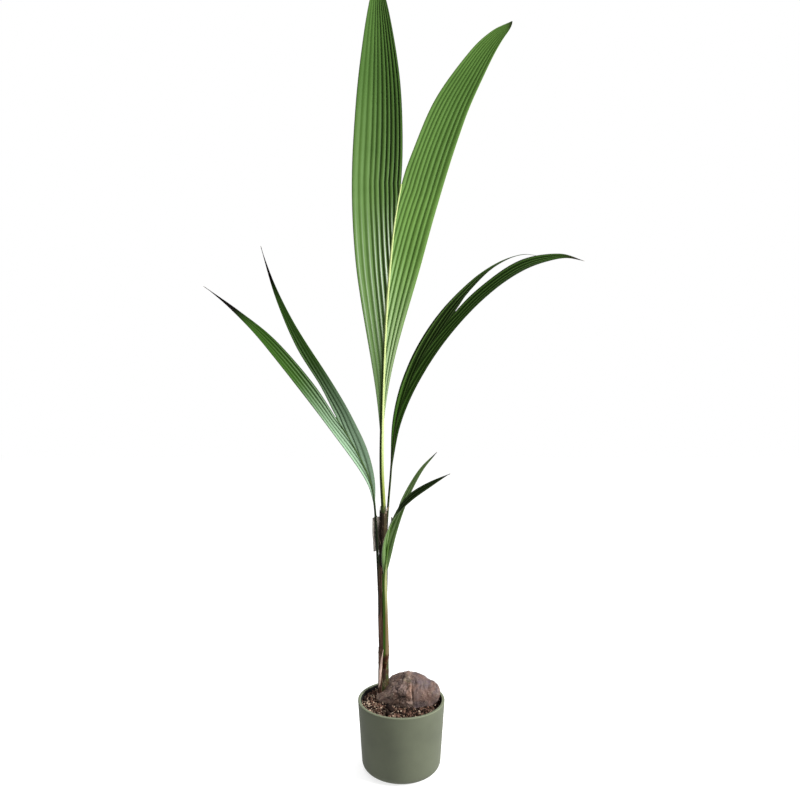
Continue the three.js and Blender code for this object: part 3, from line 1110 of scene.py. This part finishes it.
def nut_point(ball, relief, seed):
    """Where a point of a unit ball goes on the nut, round its middle, and its relief in mm."""
    around = math.atan2(ball.z, ball.y)
    base = nut_base(ball, around)
    where = base / MM
    shift = Vector((seed * 7.3, 0, 0))
    lumps = noise.fractal(where / 21 + shift, 1.0, 2.0, 4)
    creased = 0.16 - abs(noise.noise(where / 13 + shift * 2))
    strips = noise.fractal(Vector((where.x / 38, where.y / 7, where.z / 7)) + shift, 0.9, 2.1, 3)
    off = seam_off(ball, around, seed)
    rough, striped, creasing = (1.0, 0.8, 8) if off < 0 else (0.45, 0.15, 4)
    height = lumps * rough + strips * striped - max(creased, 0) * creasing * 0.6
    height *= relief / MM
    if off > 4:
        curve = math.sin(off * 0.55 + 5 * noise.noise(where / 22) + 0.5 * math.cos(around * 2))
        height += 0.32 * curve * clamp((off - 4) / 6)
    height += seam_relief(off, around, seed) * clamp(ball.yz.length * 1.5)
    crack = math.hypot((ball.x + 0.13) / 0.13, (around - CRACK_TURN) / 0.045)
    height -= NUT["crack"] * clamp(1.3 - crack)
    knob = (ball - KNOB).length
    swell = NUT["swelling"] * bell(knob, 0.34) - NUT["collar"] * bell(knob - 0.52, 0.12)
    raised = Vector((0, 0, NUT["tip_lift"] * MM)) * clamp(-ball.x) ** 2
    return base + raised + base.normalized() * (height + swell) * MM, height


def stem_share(height):
    """How far up the stem a height in millimetres is."""
    foot, top = STEM_PATH[0][2], STEM_PATH[-1][2]
    return (height - foot) / (top - foot)


def wrap_put(path, wrap, seed):
    """Where an old sheath lies round the stem, with a ragged top and open edges."""
    low, high = stem_share(wrap["bottom"]), stem_share(wrap["top"])

    def put(across, along):
        tear = noise.fractal(Vector((across * 9, seed, 0)), 0.8, 2.0, 4) * wrap["ragged"] * MM
        slant = (0.5 - abs(across - 0.5)) * 18 * MM
        share = blend(low, high, along) + (tear + slant * 0.5) * along**2 / path.length
        edge = noise.noise(Vector((along * 6, seed, across * 2))) * 5
        opening = 12 * max(along - 0.35, 0) ** 1.4
        start = wrap["start"] + edge + opening
        reach = wrap["reach"] - 1.2 * opening
        angle = math.radians(start + reach * across)
        at, _, right, forward = path.frame(round(share, 5))
        radius = stem_radius(share, angle, 0.04)
        fold = noise.fractal(Vector((across * 22, along * 3, seed)), 0.9, 2.0, 3) * 0.5
        off = wrap["off"] + fold + 0.8 * along**3
        curl = 1.2 * along * max(0, 1 - min(across, 1 - across) * 12)
        return at + (right * math.cos(angle) + forward * math.sin(angle)) * (radius + (off + curl) * MM)

    return put


def stem_radius(share, angle, relief):
    """The stem's radius, with ridges along it and the low steps of its rings."""
    plain = blend(*STEM_RADIUS, clamp(share)) * MM
    around = Vector((math.cos(angle), math.sin(angle), 0)) * 3.2
    ridges = noise.fractal(around + Vector((0, 0, share * 7)), 0.9, 2.0, 4)
    flare = 0.16 * math.exp(-share / 0.06)
    return plain * (0.9 + flare + relief * ridges)


class BuildStem(bpy.types.Operator):
    """Makes the living stem, the old sheaths torn open round it and the scrap at its foot"""

    bl_idname = "palm.stem"
    bl_label = "Stem"

    def execute(self, context):
        stem = context.scene.palm_stem
        path = Path(STEM_PATH)

        def radius(turn, share):
            return stem_radius(share, turn * TAU, stem.relief)

        looks = {
            "green": tone("35501a", 0.42),
            "olive": tone("5f6a30", 0.42),
            "brown": tone("54301c", 0.45),
            "red": tone("7a3d24", 0.45),
            "fleck": tone("b89c78", 0.5),
            # The gap colour is painted shade in the opening between the sheaths.
            "gap": tone("3c150b", 0.4),
        }
        core = tube(path, radius, 64, 220)
        add_piece("stem_core", core, stem_finish(looks), "stem", ["stem"])

        sheath_looks = {
            "fibres": 34.0,
            "stretch": 2.2,
            "dark": tone("3a2418", 0.34),
            "mid": stem.sheath,
            "light": tone("c89c84", 0.66),
            "patch": tone("5a2f1c", 0.42),
            "patchy": 0.55,
            "fleck": tone("d6b8a4", 0.66),
            "shade": tone("1f100a", 0.5),
            "shade_reach": (0.14, 0.26),
        }
        low_finish = bark_finish("old_sheath", sheath_looks)
        top_tones = {
            "dark": tone("2a2416", 0.5),
            "mid": tone("4a4029", 0.55),
            "light": tone("7a6f4e", 0.6),
        }
        top_finish = bark_finish("top_sheath", sheath_looks | top_tones)
        for number, wrap in enumerate(WRAPS):
            mesh = sheet(80, 70, wrap_put(path, wrap, stem.seed + number * 3.7))
            thicken(mesh, SHEATH_THICKNESS)
            material = top_finish if wrap is WRAPS[-1] else low_finish
            add_piece(f"stem_sheath_{number + 1}", mesh, material, "stem")

        dice = random.Random(stem.seed)
        hairs = bmesh.new()
        for _ in range(190):
            add_sheath_hair(hairs, path, dice)
        for _ in range(7):
            add_top_hair(hairs, path, dice)
        material = crumb_finish("sheath_hair", tone("c2ad97", 0.8), tone("84664f", 0.7))
        add_piece("stem_fibres", hairs, material, "stem")

        scrap = sheet(10, 60, blade_put(Path(TORN["edge"]), TORN, None))
        thicken(scrap, SHEATH_THICKNESS)
        looks = dict(
            sheath_looks,
            fibres=9.0,
            dark=tone("7a5a4a", 0.5),
            mid=tone("ecd0c0", 0.95),
            light=tone("f6e6dc"),
            patch=tone("b89888", 0.6),
            patchy=0.2,
            shade=tone("8a6452", 0.5),
            shade_reach=(0.7, 0.95),
        )
        add_piece("torn_scrap", scrap, bark_finish("dry_scrap", looks), "dry_sheath", ["torn_sheath"])
        return {"FINISHED"}


def off_stem(path, share, angle, out):
    """A place beside the stem, at an angle and a distance from its middle."""
    at, _, right, forward = path.frame(round(clamp(share), 5))
    return at + (right * math.cos(angle) + forward * math.sin(angle)) * out


def add_sheath_hair(hairs, path, dice):
    """Grows one loose fibre out of an old sheath, more often near the sheath's top."""
    wrap = dice.choice(WRAPS)
    share = stem_share(blend(wrap["bottom"], wrap["top"] + 4, dice.random() ** 0.6))
    angle, spread = dice.uniform(0, TAU), dice.uniform(0.5, 4.5)
    points = []
    for k in range(4):
        out = stem_radius(share, angle, 0.0) + (1.5 + spread * (k / 3) ** 2) * MM
        points.append(off_stem(path, share, angle, out))
        share += dice.uniform(0.006, 0.016)
        angle += dice.uniform(-0.12, 0.12)
    grow_hair(hairs, points, dice.uniform(0.15, 0.35) * MM, steps=4)


def add_top_hair(hairs, path, dice):
    """Grows one thick pale fibre at the front of the top sheath's mouth."""
    share = 0.975 + dice.uniform(-0.01, 0.01)
    angle = math.radians(dice.uniform(-25, 60))
    points = []
    for step in range(4):
        out = (9.7 + step * dice.uniform(0.8, 2.4)) * MM
        points.append(off_stem(path, share, angle, out))
        share += 0.006
    grow_hair(hairs, points, dice.uniform(0.5, 0.8) * MM, steps=4)


class BuildFibreSheath(bpy.types.Operator):
    """Weaves the net of fibre that stands round the back of the stem's top"""

    bl_idname = "palm.fibre_sheath"
    bl_label = "Fibre sheath"

    def execute(self, context):
        fibre = context.scene.palm_fibre
        axis = Vector((*FIBRE["axis"], 0)) * MM
        bottom, top = FIBRE["bottom"] * MM, FIBRE["top"] * MM
        first, last = (math.radians(angle) for angle in FIBRE["angles"])

        def put(across, along, off=0.0):
            near = min(across, 1 - across) * 2
            cut = 13 * MM * max(0, 1 - near * 3) ** 2
            tear = noise.fractal(Vector((across * 14, fibre.seed, 0)), 0.8, 2.0, 4) * 4 * MM
            low = bottom + cut + abs(tear) * 0.5
            high = top - cut * 0.6 + tear - 2 * MM
            height = blend(low, high, along)
            angle = blend(first, last, across)
            wave = noise.noise(Vector((across * 5, along * 3, fibre.seed))) * 1.1
            pinch = 3.2 * (1 - along) ** 2
            radius = (FIBRE["radius"] + 0.8 + wave - pinch) * MM + off
            return axis + Vector((math.cos(angle) * radius, math.sin(angle) * radius, height))

        looks = {
            "fibres": 60.0,
            "stretch": 5.0,
            "dark": tone("6d635b", 0.55),
            "mid": fibre.colour,
            "light": tone("e6e0d8", 0.9),
            "patch": tone("77705f", 0.6),
            "patchy": 0.4,
            "fleck": tone("ebe4dc", 0.65),
            "shade": tone("3a2a20", 0.4),
            "shade_reach": (0.5, 0.3),
        }
        cloth = bark_finish("fibre_cloth", looks)
        for side, reach in CLOTH_REACH.items():
            backing = sheet(120, 50, lambda across, along: put(blend(*reach, across), along))
            thicken(backing, 0.5 * MM)
            nodes = ["fibre_sheath"] if side == "left" else ()
            add_piece(f"fibre_cloth_{side}", backing, cloth, "fibre", nodes)

        dice = random.Random(fibre.seed)
        weave = bmesh.new()
        for lean in (-0.16, 0.16):
            for k in range(fibre.strands):
                start = (k + dice.uniform(0.1, 0.9)) / fibre.strands
                low, high = dice.uniform(-0.03, 0.12), dice.uniform(0.8, 1.09)
                points = []
                for step in range(7):
                    along = blend(low, high, step / 6)
                    across = clamp(start + lean * along + dice.uniform(-0.006, 0.006))
                    points.append(put(across, along, dice.uniform(0.3, 0.8) * MM))
                grow_hair(weave, points, dice.uniform(0.28, 0.5) * MM, steps=8)
        material = crumb_finish("fibre_strand", tone("cfc6bc", 0.65), tone("8a7d72", 0.55))
        add_piece("fibre_weave", weave, material, "fibre")
        return {"FINISHED"}


def blade_width(lobe, share):
    """The width of a blade at a share of its edge."""
    if share < lobe["fullest"]:
        away, power = (lobe["fullest"] - share) / lobe["fullest"], lobe["powers"][0]
    else:
        away, power = (share - lobe["fullest"]) / (1 - lobe["fullest"]), lobe["powers"][1]
    full = max(math.cos(away * math.pi / 2), 0) ** power
    return max(lobe["width"] * MM * full, LEAST_WIDTH)


def margin_drift(path, lobe, share):
    """How far a blade's margin moves when the bend of its inner edge at the fork is evened out."""
    key = (share, lobe["side"])
    if key not in path.drifts:
        reach = 0.11 * min(1, 3 * share, 3 * (1 - share))
        spots = []
        for step in range(-4, 5):
            spot_share = round(share + reach * step / 4, 6)
            at, tangent, right, forward = path.frame(spot_share)
            lift = math.radians(blend(*lobe["lift"], spot_share))
            outward = right * (lobe["side"] * math.cos(lift)) + forward * math.sin(lift)
            spots.append(at + outward * blade_width(lobe, spot_share))
        path.drifts[key] = sum(spots, Vector()) / len(spots) - spots[4]
    return path.drifts[key]


def blade_put(path, lobe, pleating):
    """Where a blade's corners go.

    pleating(across, share, width) gives the place across and the height of a fold.
    """

    def put(across, row):
        share = round(1 - (1 - row) ** 1.25, 6)
        at, tangent, right, forward = path.frame(share)
        lift = math.radians(blend(*lobe["lift"], share))
        outward = right * (lobe["side"] * math.cos(lift)) + forward * math.sin(lift)
        facing = outward.cross(tangent) * lobe["side"]
        width = blade_width(lobe, share)
        height = 0.0
        if pleating:
            across, height = pleating(across, share, width)
            drift = margin_drift(path, lobe, share)
            at = at + drift * min(across * 2.5, 1)
        arch = 4 * across * (1 - across)
        ripple = noise.noise(Vector((across * 1.3, share * path.length * 6, lobe["width"])))
        wave = 0.035 * ripple * width
        spot = at + outward * (RIB_GAP + across * width)
        return spot + facing * (lobe["hollow"] * width * arch + height + wave * across)

    return put


def lobe_mesh(leaf, lobe, depth, thickness, seed):
    """One pleated lobe. Its folds leave the midrib one after another, up to the fork."""
    path = Path(leaf["stalk"][leaf["blade_from"] :] + lobe["edge"])
    fork = path.share_of(len(leaf["stalk"]) - 1 - leaf["blade_from"])
    dice = random.Random(seed)
    count = lobe["pleats"]
    outer = [(number + 0.5) / count for number in range(count)]
    shares = [blend(lobe["narrowing"], 1, out) * dice.uniform(0.85, 1.15) for out in outer]
    edges = list(accumulate((s / sum(shares) for s in shares), initial=0.0))
    depths = [depth * blend(*lobe["folds"], out) * dice.uniform(0.8, 1.2) for out in outer]

    def pleating(across, share, width):
        opened = clamp(share / fork, 0.02)
        number = min(int(across * count), count - 1)
        part = across * count - number
        place = blend(edges[number], edges[number + 1], part)
        spread = max(0.0, 1 - (1 - place) / opened)
        fold = (edges[number + 1] - edges[number]) * width / opened
        height = depths[number] * fold * (abs(math.sin(part * math.pi)) ** 0.8 - 0.5)
        return spread, height * clamp(spread * width / (4 * MM))

    rows = max(60, round(BLADE_ROWS * path.length / 1.2))
    mesh = sheet(count * PLEAT_COLUMNS, rows, blade_put(path, lobe, pleating))
    thicken(mesh, thickness)
    return mesh


def stalk_mesh(leaf):
    """A stalk with a low keel to the front, which grows out of the stem."""
    path = Path([leaf["root"]] + leaf["stalk"])
    start = path.share_of(1)

    def radius(turn, share):
        up = clamp((share - start) / (1 - start))
        plain = blend(*leaf["radius"], up) * MM
        plain *= clamp(0.55 + 0.45 * share / start)
        keel = math.cos(3 * (turn * TAU - math.pi / 2))
        lines = math.cos(14 * turn * TAU) * 0.012
        return plain * (1 + 0.09 * keel + lines)

    return tube(path, radius, 48, round(path.length / (5 * MM)))


# The groove and deep colours are painted shade in the folds, and the glint colour is a painted
# highlight.
LEAF_LOOKS = {
    "upright": {
        "groove": tone("42691f", 0.34),
        "outer_groove": 0.1,
        "deep": tone("23420c", 0.26),
        "deepening": 1.4,
        "low": tone("7ca656", 0.34),
        "low_reach": (0.2, 0.85),
        "pale": tone("86b055", 0.3),
        "glint": tone("f4fbee"),
        "glinting": 0.85,
        "dull": tone("466c2b", 0.34),
        "foot": tone("86a86c", 0.2),
        "foot_reach": 0.45,
        "margin": tone("4f6a34", 0.4),
        "tip": tone("3c4a24", 0.4),
        "tip_reach": (0.97, 1.0),
        "tip_end": tone("3f4a2a", 0.4),
        "banding": 0.25,
        "roughness": 0.45,
        "gloss": 0.05,
        "outer_glint": 0.1,
        "glint_reach": (0.3, 0.46),
        "foot_cover": 0.0,
    },
    "left": {
        "groove": tone("20330f", 0.4),
        "outer_groove": 0.3,
        "deep": tone("141f08", 0.4),
        "deepening": 0.6,
        "low": tone("527a34", 0.3),
        "low_reach": (0.2, 0.6),
        "pale": tone("638a40", 0.28),
        "glint": tone("a9c49a", 0.45),
        "glinting": 0.45,
        "dull": tone("355220", 0.32),
        "foot": tone("b0d2b0", 0.5),
        "foot_reach": 0.55,
        "margin": tone("4c5a34", 0.4),
        "tip": tone("0b0905", 0.5),
        "tip_reach": (0.72, 0.84),
        "tip_end": tone("8b8278", 0.6),
        "banding": 0.35,
        "roughness": 0.5,
        "gloss": 0.03,
        "outer_glint": 0.3,
        "glint_reach": (0.4, 0.7),
        "foot_cover": 0.6,
    },
    "right": {
        "groove": tone("1f360c", 0.42),
        "outer_groove": 0.55,
        "deep": tone("14220a", 0.36),
        "deepening": 0.4,
        "low": tone("3f6324", 0.3),
        "low_reach": (0.1, 0.4),
        "pale": tone("6b9a48", 0.3),
        "glint": tone("8ab85c", 0.36),
        "glinting": 0.45,
        "dull": tone("2c421c", 0.35),
        "foot": tone("4d7c2c", 0.42),
        "foot_reach": 0.4,
        "margin": tone("2a2c16", 0.4),
        "tip": tone("2a2314", 0.45),
        "tip_reach": (0.86, 0.97),
        "tip_end": tone("a8a08e", 0.6),
        "banding": 0.4,
        "roughness": 0.5,
        "gloss": 0.02,
        "outer_glint": 1.0,
        "glint_reach": (0.7, 0.95),
        "foot_cover": 0.0,
    },
    "small": {
        "groove": tone("42701f", 0.34),
        "outer_groove": 0.5,
        "deep": tone("2a4d12", 0.36),
        "deepening": 0.8,
        "low": tone("88ae5c", 0.34),
        "low_reach": (0.3, 0.8),
        "pale": tone("a9c48c", 0.42),
        "glint": tone("c5d6b0", 0.45),
        "glinting": 0.3,
        "dull": tone("587a44", 0.36),
        "foot": tone("86a868", 0.36),
        "foot_reach": 0.4,
        "margin": tone("b9c9a5", 0.42),
        "tip": tone("2b3519", 0.4),
        "tip_reach": (0.86, 0.98),
        "tip_end": tone("7a6040", 0.5),
        "banding": 0.6,
        "roughness": 0.45,
        "gloss": 0.05,
        "outer_glint": 0.3,
        "glint_reach": (0.4, 0.7),
        "foot_cover": 0.0,
    },
}

# What differs on single lobes.
LOBE_LOOKS = {
    "upright_right": {
        "crest": tone("587e36", 0.42),
        "deepening": 0.3,
        "glinting": 0.1,
        "outer_groove": 0.85,
        "foot": tone("a3b88b", 0.5),
        "low": tone("84b254", 0.39),
        "margin": tone("8aa84a", 0.5),
    },
    "left_outer": {"crest": tone("3f6c1a", 0.36)},
    "left_inner": {"crest": tone("46702a", 0.44), "low": tone("55803e", 0.38), "deepening": 0.4},
    "right_lower": {"crest": tone("3f6324", 0.34)},
    "right_upper": {"crest": tone("30461a", 0.28), "low": tone("2c4515", 0.28)},
    "small_front": {"shade": tone("22380e", 0.32), "shade_reach": (0.42, 0.5)},
}

LEAF_SLOTS = {
    "upright": "young_leaf",
    "left": "old_leaf",
    "right": "old_leaf",
    "small": "small_leaf",
}

# Each stalk's right and left tones: the dark left face is partly its own tone and partly painted shade.
STALK_LOOKS = {
    "upright": {
        "slot": "bright_stalk",
        "right": tone("a5b452", 0.36),
        "left": tone("3a4a1e", 0.5),
        "keel": 0.24,
        "dark_reach": (0.5, 0.72),
        "line": tone("c9d895", 0.4),
        "upper": tone("ccdb92", 0.48),
        "upper_reach": (0.12, 0.3),
        "brown": tone("4e3b24", 0.42),
        "brown_reach": 0.14,
    },
    "left": {
        "slot": "dark_stalk",
        "right": tone("141f08", 0.5),
        "left": tone("101807", 0.4),
        "keel": 0.27,
        "dark_reach": (0.5, 0.7),
        "line": tone("33461c", 0.4),
        "upper": tone("5d7d43", 0.42),
        "upper_reach": (0.5, 0.7),
        "brown": tone("6a5242", 0.42),
        "brown_reach": 0.36,
    },
    "right": {
        "slot": "dark_stalk",
        "right": tone("4a5c2e", 0.36),
        "left": tone("1d260f", 0.4),
        "keel": 0.2,
        "dark_reach": (0.35, 0.6),
        "line": tone("7a8f5a", 0.36),
        "upper": tone("2c4315", 0.4),
        "upper_reach": (0.35, 0.6),
        "brown": tone("251c12", 0.4),
        "brown_reach": 0.12,
    },
    "small": {
        "slot": "pale_stalk",
        "right": tone("bfc587", 0.38),
        "left": tone("467410", 0.5),
        "keel": 0.265,
        "dark_reach": (0.9, 1.0),
        "line": tone("b5bc80", 0.36),
        "edge": tone("7d5f44", 0.36),
        "base": tone("4a2212", 0.4),
        "upper": tone("5c8038", 0.4),
        "upper_reach": (0.55, 0.7),
        "brown": tone("8d7a52", 0.36),
        "brown_reach": 0.54,
    },
}


class BuildLeaves(bpy.types.Operator):
    """Makes the four leaves: a keeled stalk and two pleated lobes each"""

    bl_idname = "palm.leaves"
    bl_label = "Leaves"

    def execute(self, context):
        leaves = context.scene.palm_leaves
        crests = {"young_leaf": leaves.young, "old_leaf": leaves.old, "small_leaf": leaves.small}
        for number, (leaf_name, leaf) in enumerate(LEAVES.items()):
            stalk_looks = STALK_LOOKS[leaf_name]
            node = f"{leaf_name}_stalk"
            material = stalk_finish(f"{leaf_name}_stalk_wax", stalk_looks)
            add_piece(f"{leaf_name}_rib", stalk_mesh(leaf), material, stalk_looks["slot"], [node])
            for lobe_name, lobe in leaf["lobes"].items():
                name = f"{leaf_name}_{lobe_name}"
                seed = leaves.seed + number * 10 + len(lobe_name)
                mesh = lobe_mesh(leaf, lobe, leaves.pleat_depth, leaves.thickness, seed)
                slot = LEAF_SLOTS[leaf_name]
                looks = LEAF_LOOKS[leaf_name] | {"crest": crests[slot]} | LOBE_LOOKS.get(name, {})
                material = leaf_finish(f"{name}_green", lobe["pleats"], looks)
                add_piece(f"{name}_blade", mesh, material, slot, [f"{name}_lobe"])
        return {"FINISHED"}


# ---- Stage ----

class BuildStage(bpy.types.Operator):
    """Sets the pale floor, the soft light and the camera"""

    bl_idname = "palm.stage"
    bl_label = "Stage"

    def execute(self, context):
        scene, stage = context.scene, context.scene.palm_stage
        lay_floor(scene, stage.floor, stage.floor_glow)
        light_room(scene, stage.ambient)
        for name, place, size, share in LAMPS:
            hang_lamp(scene, name, place, size, stage.key * share)
        set_camera(scene)
        scene.view_settings.view_transform = "Standard"
        return {"FINISHED"}


def lay_floor(scene, width, glow):
    """A plain pale floor just under the pot, which glows a little so as to stay white."""
    mesh = bmesh.new()
    bmesh.ops.create_grid(mesh, x_segments=8, y_segments=8, size=width / 2)
    data = bpy.data.meshes.new("floor")
    mesh.to_mesh(data)
    mesh.free()
    finish = Finish("pale_floor", roughness=0.8, gloss=0.1)
    clouds = finish.cloud(finish.place(), 1.5, 3.0, 0.5)
    finish.feed("Base Color", finish.mix((0.4, 0.4, 0.4, 1), (0.42, 0.42, 0.42, 1), clouds))
    finish.shader.socket.node.inputs["Emission Strength"].default_value = glow
    data.materials.append(finish.material)
    floor = bpy.data.objects.new("floor", data)
    scene.collection.objects.link(floor)
    floor.location.z = -0.5 * MM


def light_room(scene, strength):
    """Soft light from all round, weaker from the left, in a room that is seen as white."""
    world = bpy.data.worlds.new("soft_room")
    scene.world = world
    world.use_nodes = True
    nodes, links = world.node_tree.nodes, world.node_tree.links
    light, seen = nodes["Background"], nodes.new("ShaderNodeBackground")
    for background, power in ((light, strength), (seen, 1.0)):
        background.inputs["Color"].default_value = (1.0, 1.0, 1.0, 1.0)
        background.inputs["Strength"].default_value = power
    direction = nodes.new("ShaderNodeTexCoord")
    split = nodes.new("ShaderNodeSeparateXYZ")
    fall = nodes.new("ShaderNodeMapRange")
    for name, value in SIDE_LIGHT.items():
        fall.inputs[name].default_value = value
    links.new(direction.outputs["Generated"], split.inputs[0])
    links.new(split.outputs["X"], fall.inputs["Value"])
    links.new(fall.outputs[0], light.inputs["Color"])
    rays = nodes.new("ShaderNodeLightPath")
    choice = nodes.new("ShaderNodeMixShader")
    links.new(rays.outputs["Is Camera Ray"], choice.inputs["Fac"])
    links.new(light.outputs[0], choice.inputs[1])
    links.new(seen.outputs[0], choice.inputs[2])
    links.new(choice.outputs[0], nodes["World Output"].inputs["Surface"])


def hang_lamp(scene, name, place, size, power):
    """A round soft lamp that faces the middle of the plant."""
    lamp = bpy.data.lights.new(name, "AREA")
    lamp.shape = "DISK"
    lamp.size = size
    lamp.energy = power
    light = bpy.data.objects.new(name, lamp)
    light.location = place
    towards = Vector((0, 0, 0.9)) - Vector(place)
    light.rotation_euler = towards.to_track_quat("-Z", "Y").to_euler()
    scene.collection.objects.link(light)


def set_camera(scene):
    """The camera, level and straight in front of the plant."""
    lens = bpy.data.cameras.new("camera")
    lens.lens, lens.sensor_width = CAMERA["lens"], CAMERA["sensor"]
    lens.clip_start, lens.clip_end = CAMERA["clip"]
    camera = bpy.data.objects.new("camera", lens)
    camera.location = CAMERA["place"]
    camera.rotation_euler = (math.pi / 2, 0, 0)
    scene.collection.objects.link(camera)
    scene.camera = camera


class PalmPanel(bpy.types.Panel):
    """Lists the palm's pieces and their settings"""

    bl_idname = "VIEW3D_PT_palm"
    bl_label = "Young coconut palm"
    bl_space_type = "VIEW_3D"
    bl_region_type = "UI"
    bl_category = "Palm"

    def draw(self, context):
        for operator, group in zip(OPERATORS, SETTINGS):
            box = self.layout.box()
            box.operator(operator.bl_idname)
            settings = getattr(context.scene, group)
            for name in settings.bl_rna.properties.keys():
                if name not in ("rna_type", "name"):
                    box.prop(settings, name)


OPERATORS = (BuildPot, BuildMix, BuildNut, BuildStem, BuildFibreSheath, BuildLeaves, BuildStage)


def register():
    for group in (*SETTINGS.values(), *OPERATORS, PalmPanel):
        bpy.utils.register_class(group)
    for name, group in SETTINGS.items():
        setattr(bpy.types.Scene, name, PointerProperty(type=group))


def unregister():
    for name in SETTINGS:
        delattr(bpy.types.Scene, name)
    for group in reversed((*SETTINGS.values(), *OPERATORS, PalmPanel)):
        bpy.utils.unregister_class(group)


def main():
    """Builds every piece and the stage."""
    register()
    for operator in OPERATORS:
        module, name = operator.bl_idname.split(".")
        getattr(getattr(bpy.ops, module), name)()
    bpy.context.view_layer.update()


if __name__ == "__main__":
    main()
